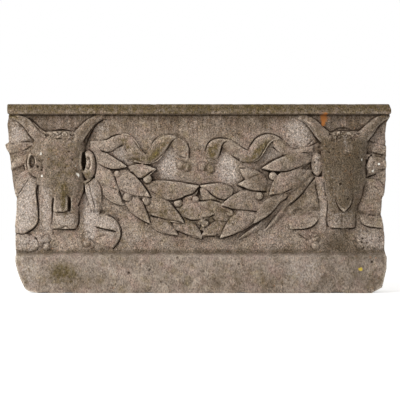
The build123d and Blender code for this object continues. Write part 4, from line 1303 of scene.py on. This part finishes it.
def paintWeatherAndShade(mesh):
    co = meshPoints(mesh)
    low, high = np.array(cadLow) / mm, np.array(cadHigh) / mm
    co = np.clip(co, low + 0.15, high - 0.15)      # nothing stands outside the measured block
    movePoints(mesh, co)
    reach, rise, own = co[:, 0], co[:, 2] - filletUnderside, -co[:, 1]
    frontness = np.clip((own - 10) / 20, 0, 1)
    # how far each point lies below the soft average round it; deep points take soil and painted shade,
    # raised ones wear and a painted highlight
    fine, broad = [np.clip((mapPlace(co, blur(heightMap, across)) - own) / full, -1, 1) * frontness
                   for across, full in (shadeAndWeatherReach["fine"], shadeAndWeatherReach["broad"])]
    fields = {"hollow": np.clip(fine, 0, 1), "broadPaintedShade": np.clip(broad, 0, 1),
              "rubbedEdgeAndHighlight": np.clip(-fine, 0, 1)}
    for name, outlines in weatherAndLightOutlines.items():
        value = np.zeros(len(co))
        for strength, soft, outline in outlines:
            edge = np.clip(0.5 + depthInside(reach, rise, outline) / soft / 2, 0, 1)
            value = np.maximum(value, strength * edge)
        fields[name] = value * np.clip((own + 75) / 90, 0, 1)       # fades towards the back
    # the long joints over the plinth and under the fillet get less of the soil and painted shade than the
    # carving does
    joint = np.where((rise < -436) & (rise > -464), 0.6, 1)
    fields["hollow"] *= np.where(rise > -9, 0.45, joint)
    fields["broadPaintedShade"] *= np.where(rise > -30, 0.5, 1)
    # less wear and painted highlight along the fillet's lower edge
    fields["rubbedEdgeAndHighlight"] *= np.where(rise > -3, 0.2, 1)
    fields["carvedFace"] = np.clip((rise + 452) / 12, 0, 1) * frontness
    fields["drips"] = np.clip(1 + rise / shadeAndWeatherReach["drips"], 0, 1) * (rise < -2) * frontness
    for name, places in lichenSpots.items():
        value = np.zeros(len(co))
        for x, z, wide, tall, strength in places:
            gap = np.hypot((reach - x) / wide, (rise - z) / tall)
            value = np.maximum(value, strength * np.clip(1.4 - gap, 0, 1))
        fields[name] = value * (own > 0)
    for name, value in fields.items():
        mesh.attributes.new(name, "FLOAT", "POINT").data.foreach_set("value", value.astype(np.float32))
    mesh.polygons.foreach_set("use_smooth", [True] * len(mesh.polygons))
    mesh.update()


paintWeatherAndShade(stoneMesh)
print("weather painted")


def linear(hexCode):
    values = [int(hexCode[i:i + 2], 16) / 255 for i in (1, 3, 5)]
    return (*[v / 12.92 if v <= 0.04045 else ((v + 0.055) / 1.055) ** 2.4 for v in values], 1)


# Carved stone left out of doors: a matt, gritty taupe skin, with soil and painted shade in its hollows, an
# olive film of algae on what faces the sky, pale patches rubbed or washed clean, and painted highlights on
# its ridges, edges and a few raised places
stoneLook = {
    "body": "#8f8378",
    "roughness": 0.93,
    "grit": 5,               # real grit is 1 to 2 mm; drawn coarser so that it shows
    "gritHeight": 0.9,
}
# what lies over the body, first to last: its colour, the grain of its edge in mm, the range of noise
# (with a place: painted value plus ragged noise) over which it comes in, and how thick it is there
stoneFilms = [
    {"colour": "#6a5b48", "grain": 85, "range": (0.45, 0.66), "amount": 0.7},
    {"colour": "#ada092", "grain": 45, "range": (0.5, 0.7), "amount": 0.75},
    {"colour": "#9c857c", "grain": 55, "range": (0.48, 0.7), "amount": 0.6},
    {"colour": "#82744c", "grain": 34, "range": (0.54, 0.74), "amount": 0.45},
    {"colour": "#b0a497", "grain": 17, "range": (0.48, 0.76), "amount": 0.6},
    {"colour": "#5d4e40", "grain": 19, "range": (0.5, 0.76), "amount": 0.6},
    {"colour": "#5a4c3d", "grain": 9, "stretch": 0.1, "place": "drips", "ragged": 2.4,
     "range": (0.5, 1.3), "amount": 0.85},
    # brown stains, with painted shadow bands under two ribbon curls and painted shade in the cove over the
    # plinth
    {"colour": "#4f4433", "grain": 26, "place": "brownStainAndShade", "ragged": 2, "stretch": 0.6,
     "range": (0.3, 1.25), "amount": 0.8},
    # pale wear, with a few painted highlights on the right skull
    {"colour": "#b5aca5", "grain": 7, "place": "paleWearAndHighlight", "ragged": 2.2,
     "range": (0.35, 1.15), "amount": 0.9},
    {"colour": "#564a2b", "grain": 12, "place": "greenFilm", "ragged": 2.0,
     "range": (0.3, 0.95), "amount": 0.88},
    {"colour": "#8f8345", "grain": 7, "place": "greenFilm", "ragged": 3,
     "range": (1.15, 1.6), "amount": 0.6},
    {"colour": "#8d8172", "grain": 16, "place": "greenFilm", "ragged": 2.5,
     "range": (1.15, 1.5), "amount": 0.5},
    # painted shade over the broad hollows of the carving
    {"colour": "#54473a", "grain": 12, "place": "broadPaintedShade", "ragged": 0.5,
     "range": (0.25, 1.3), "amount": 0.75},
    # soil and painted shade in the fine creases and chisel lines
    {"colour": "#291d12", "grain": 9, "place": "hollow", "ragged": 0.6,
     "range": (0.22, 1.0), "amount": 0.93},
    # paler raised ridges and edges: wear and a painted highlight
    {"colour": "#c4b8a9", "grain": 7, "place": "rubbedEdgeAndHighlight", "ragged": 0.7,
     "range": (0.22, 0.85), "amount": 0.7},
    # each grain of the stone a little lighter or darker than the next, whatever colour lies on it;
    # real grains are 1 to 2 mm, drawn coarser so that they show
    {"colour": "#c4bbb1", "blend": "DODGE", "grain": 3.1, "stretch": 0.55,
     "range": (0.46, 0.74), "amount": 1},
    {"colour": "#67594b", "blend": "MULTIPLY", "grain": 3.3, "stretch": 0.55,
     "range": (0.46, 0.74), "amount": 0.95},
    {"colour": "#c2b8ab", "blend": "DODGE", "grain": 2.8, "place": "carvedFace", "ragged": 5,
     "range": (1.0, 1.85), "amount": 1},
    {"colour": "#5d4f3f", "blend": "MULTIPLY", "grain": 2.9, "place": "carvedFace", "ragged": 5,
     "range": (1.0, 1.85), "amount": 1},
    {"colour": "#211810", "grain": 8, "range": (0.665, 0.71), "amount": 0.75},
    # white lichen, and the painted glint on an ear
    {"colour": "#efebe0", "grain": 5, "place": "whiteLichenAndGlint", "ragged": 1,
     "range": (0.35, 0.6), "amount": 1},
    {"colour": "#b4733c", "grain": 9, "place": "orangeLichen", "ragged": 2,
     "range": (0.3, 0.7), "amount": 0.95},
    {"colour": "#c9b04a", "grain": 5, "place": "yellowLichen", "ragged": 1,
     "range": (0.35, 0.6), "amount": 1},
]


def newMaterial(name):
    material = bpy.data.materials.new(name)
    material.use_nodes = True
    material.node_tree.nodes.clear()
    return material, material.node_tree


def makeStoneMaterial():
    material, tree = newMaterial("weatheredStone")
    spot = addNode(tree, "ShaderNodeTexCoord").outputs["Object"]
    colour = linear(stoneLook["body"])
    for i, film in enumerate(stoneFilms):
        # each film has its own noise, moved away from the others'
        moved = addNode(tree, "ShaderNodeMapping", {"Vector": spot, "Scale": (1, 1, film.get("stretch", 1)),
                                                    "Location": (0.37 * i, 0.91 * i, 0.53 * i)})
        noise = addNode(tree, "ShaderNodeTexNoise", {"Vector": moved.outputs[0], "Detail": 5,
                                                     "Roughness": 0.6, "Scale": 1 / (film["grain"] * mm)})
        value = noise.outputs[0]
        if "place" in film:      # ragged noise eats into the painted value
            painted = addNode(tree, "ShaderNodeAttribute", attribute_name=film["place"])
            centred = addNode(tree, "ShaderNodeMath", {0: value, 1: 0.5}, operation="SUBTRACT")
            ragged = addNode(tree, "ShaderNodeMath", {0: centred.outputs[0], 1: film["ragged"],
                                                      2: painted.outputs["Fac"]}, operation="MULTIPLY_ADD")
            value = ragged.outputs[0]
        share = addNode(tree, "ShaderNodeMapRange",
                        {"Value": value, "From Min": film["range"][0], "From Max": film["range"][1],
                         "To Max": film["amount"]})
        over = addNode(tree, "ShaderNodeMix", {"Factor": share.outputs[0], 6: colour,
                                               7: linear(film["colour"])},
                       data_type="RGBA", blend_type=film.get("blend", "MIX"))
        colour = over.outputs[2]
    grit = addNode(tree, "ShaderNodeTexNoise", {"Vector": spot, "Scale": 1 / (stoneLook["grit"] * mm),
                                                "Detail": 4, "Roughness": 0.65})
    bump = addNode(tree, "ShaderNodeBump", {"Strength": 0.6, "Distance": stoneLook["gritHeight"] * mm,
                                            "Height": grit.outputs[0]})
    skin = addNode(tree, "ShaderNodeBsdfPrincipled",
                   {"Base Color": colour, "Roughness": stoneLook["roughness"], "IOR": 1.45,
                    "Specular IOR Level": 0.25, "Normal": bump.outputs[0]})
    addNode(tree, "ShaderNodeOutputMaterial", {"Surface": skin.outputs[0]})
    return material


stoneMesh.materials.clear()
stoneMesh.materials.append(makeStoneMaterial())
friezeStone = bpy.data.objects.new("friezeStone", stoneMesh)
bpy.context.scene.collection.objects.link(friezeStone)
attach(friezeStone, "root")
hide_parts("frieze_block")
print("stone dressed")

# The studio: a pale floor, a soft key from the upper left and an even sky
studio = {
    "floor": "#f2f1ee",
    "floorSize": 12,         # metres, as all of the studio
    "floorGlow": 0.5,        # lifts the floor towards the white of the sky
    "skyStrength": 0.62,
    "keyPower": 122,
    "keyPlace": (-2.6, -2.8, 2.4),
    "keySize": 1.6,
    "lens": 135,
    "widthAtFace": 1.28,     # what the camera sees across at the face of the stone
    "aim": (0.0064, -0.06, 0.298),
}


# 1 for the rays that show the background itself, 0 for those that light the stone
def backgroundRays(tree):
    path = addNode(tree, "ShaderNodeLightPath").outputs
    shown = addNode(tree, "ShaderNodeMath", {0: path["Is Camera Ray"], 1: path["Is Glossy Ray"]},
                    operation="MAXIMUM")
    return addNode(tree, "ShaderNodeMath", {0: shown.outputs[0], 1: path["Is Transmission Ray"]},
                   operation="MAXIMUM").outputs[0]


def makeStudio():
    scene = bpy.context.scene
    scene.view_settings.view_transform = "Standard"
    world = bpy.data.worlds.new("studioSky")
    scene.world = world
    world.use_nodes = True
    tree = world.node_tree
    tree.nodes.clear()
    strength = addNode(tree, "ShaderNodeMapRange", {"Value": backgroundRays(tree), "To Max": 1.0,
                                                    "To Min": studio["skyStrength"]})
    sky = addNode(tree, "ShaderNodeBackground", {"Color": (1, 1, 1, 1), "Strength": strength.outputs[0]})
    addNode(tree, "ShaderNodeOutputWorld", {"Surface": sky.outputs[0]})

    floorMesh = bpy.data.meshes.new("floor")
    half = studio["floorSize"] / 2
    floorMesh.from_pydata([(-half, -half, 0), (half, -half, 0), (half, half, 0), (-half, half, 0)], [],
                          [(0, 1, 2, 3)])
    floor = bpy.data.objects.new("floor", floorMesh)
    scene.collection.objects.link(floor)
    paint, tree = newMaterial("paleFloor")
    glow = addNode(tree, "ShaderNodeMath", {0: backgroundRays(tree), 1: studio["floorGlow"]},
                   operation="MULTIPLY")
    matt = addNode(tree, "ShaderNodeBsdfDiffuse", {"Color": linear(studio["floor"])})
    light = addNode(tree, "ShaderNodeEmission", {"Color": (1, 1, 1, 1), "Strength": glow.outputs[0]})
    both = addNode(tree, "ShaderNodeAddShader", {0: matt.outputs[0], 1: light.outputs[0]})
    addNode(tree, "ShaderNodeOutputMaterial", {"Surface": both.outputs[0]})
    floorMesh.materials.append(paint)

    lamp = bpy.data.lights.new("key", "AREA")
    lamp.energy, lamp.size = studio["keyPower"], studio["keySize"]
    key = bpy.data.objects.new("key", lamp)
    scene.collection.objects.link(key)
    key.location = studio["keyPlace"]
    key.rotation_euler = (Vector(studio["aim"]) - key.location).to_track_quat("-Z", "Y").to_euler()

    lens = bpy.data.cameras.new("camera")
    lens.lens = studio["lens"]
    camera = bpy.data.objects.new("camera", lens)
    scene.collection.objects.link(camera)
    away = studio["widthAtFace"] * studio["lens"] / lens.sensor_width
    camera.location = Vector(studio["aim"]) + Vector((0, -away, 0))
    camera.rotation_euler = (math.radians(90), 0, 0)
    scene.camera = camera


makeStudio()
print("studio lit")
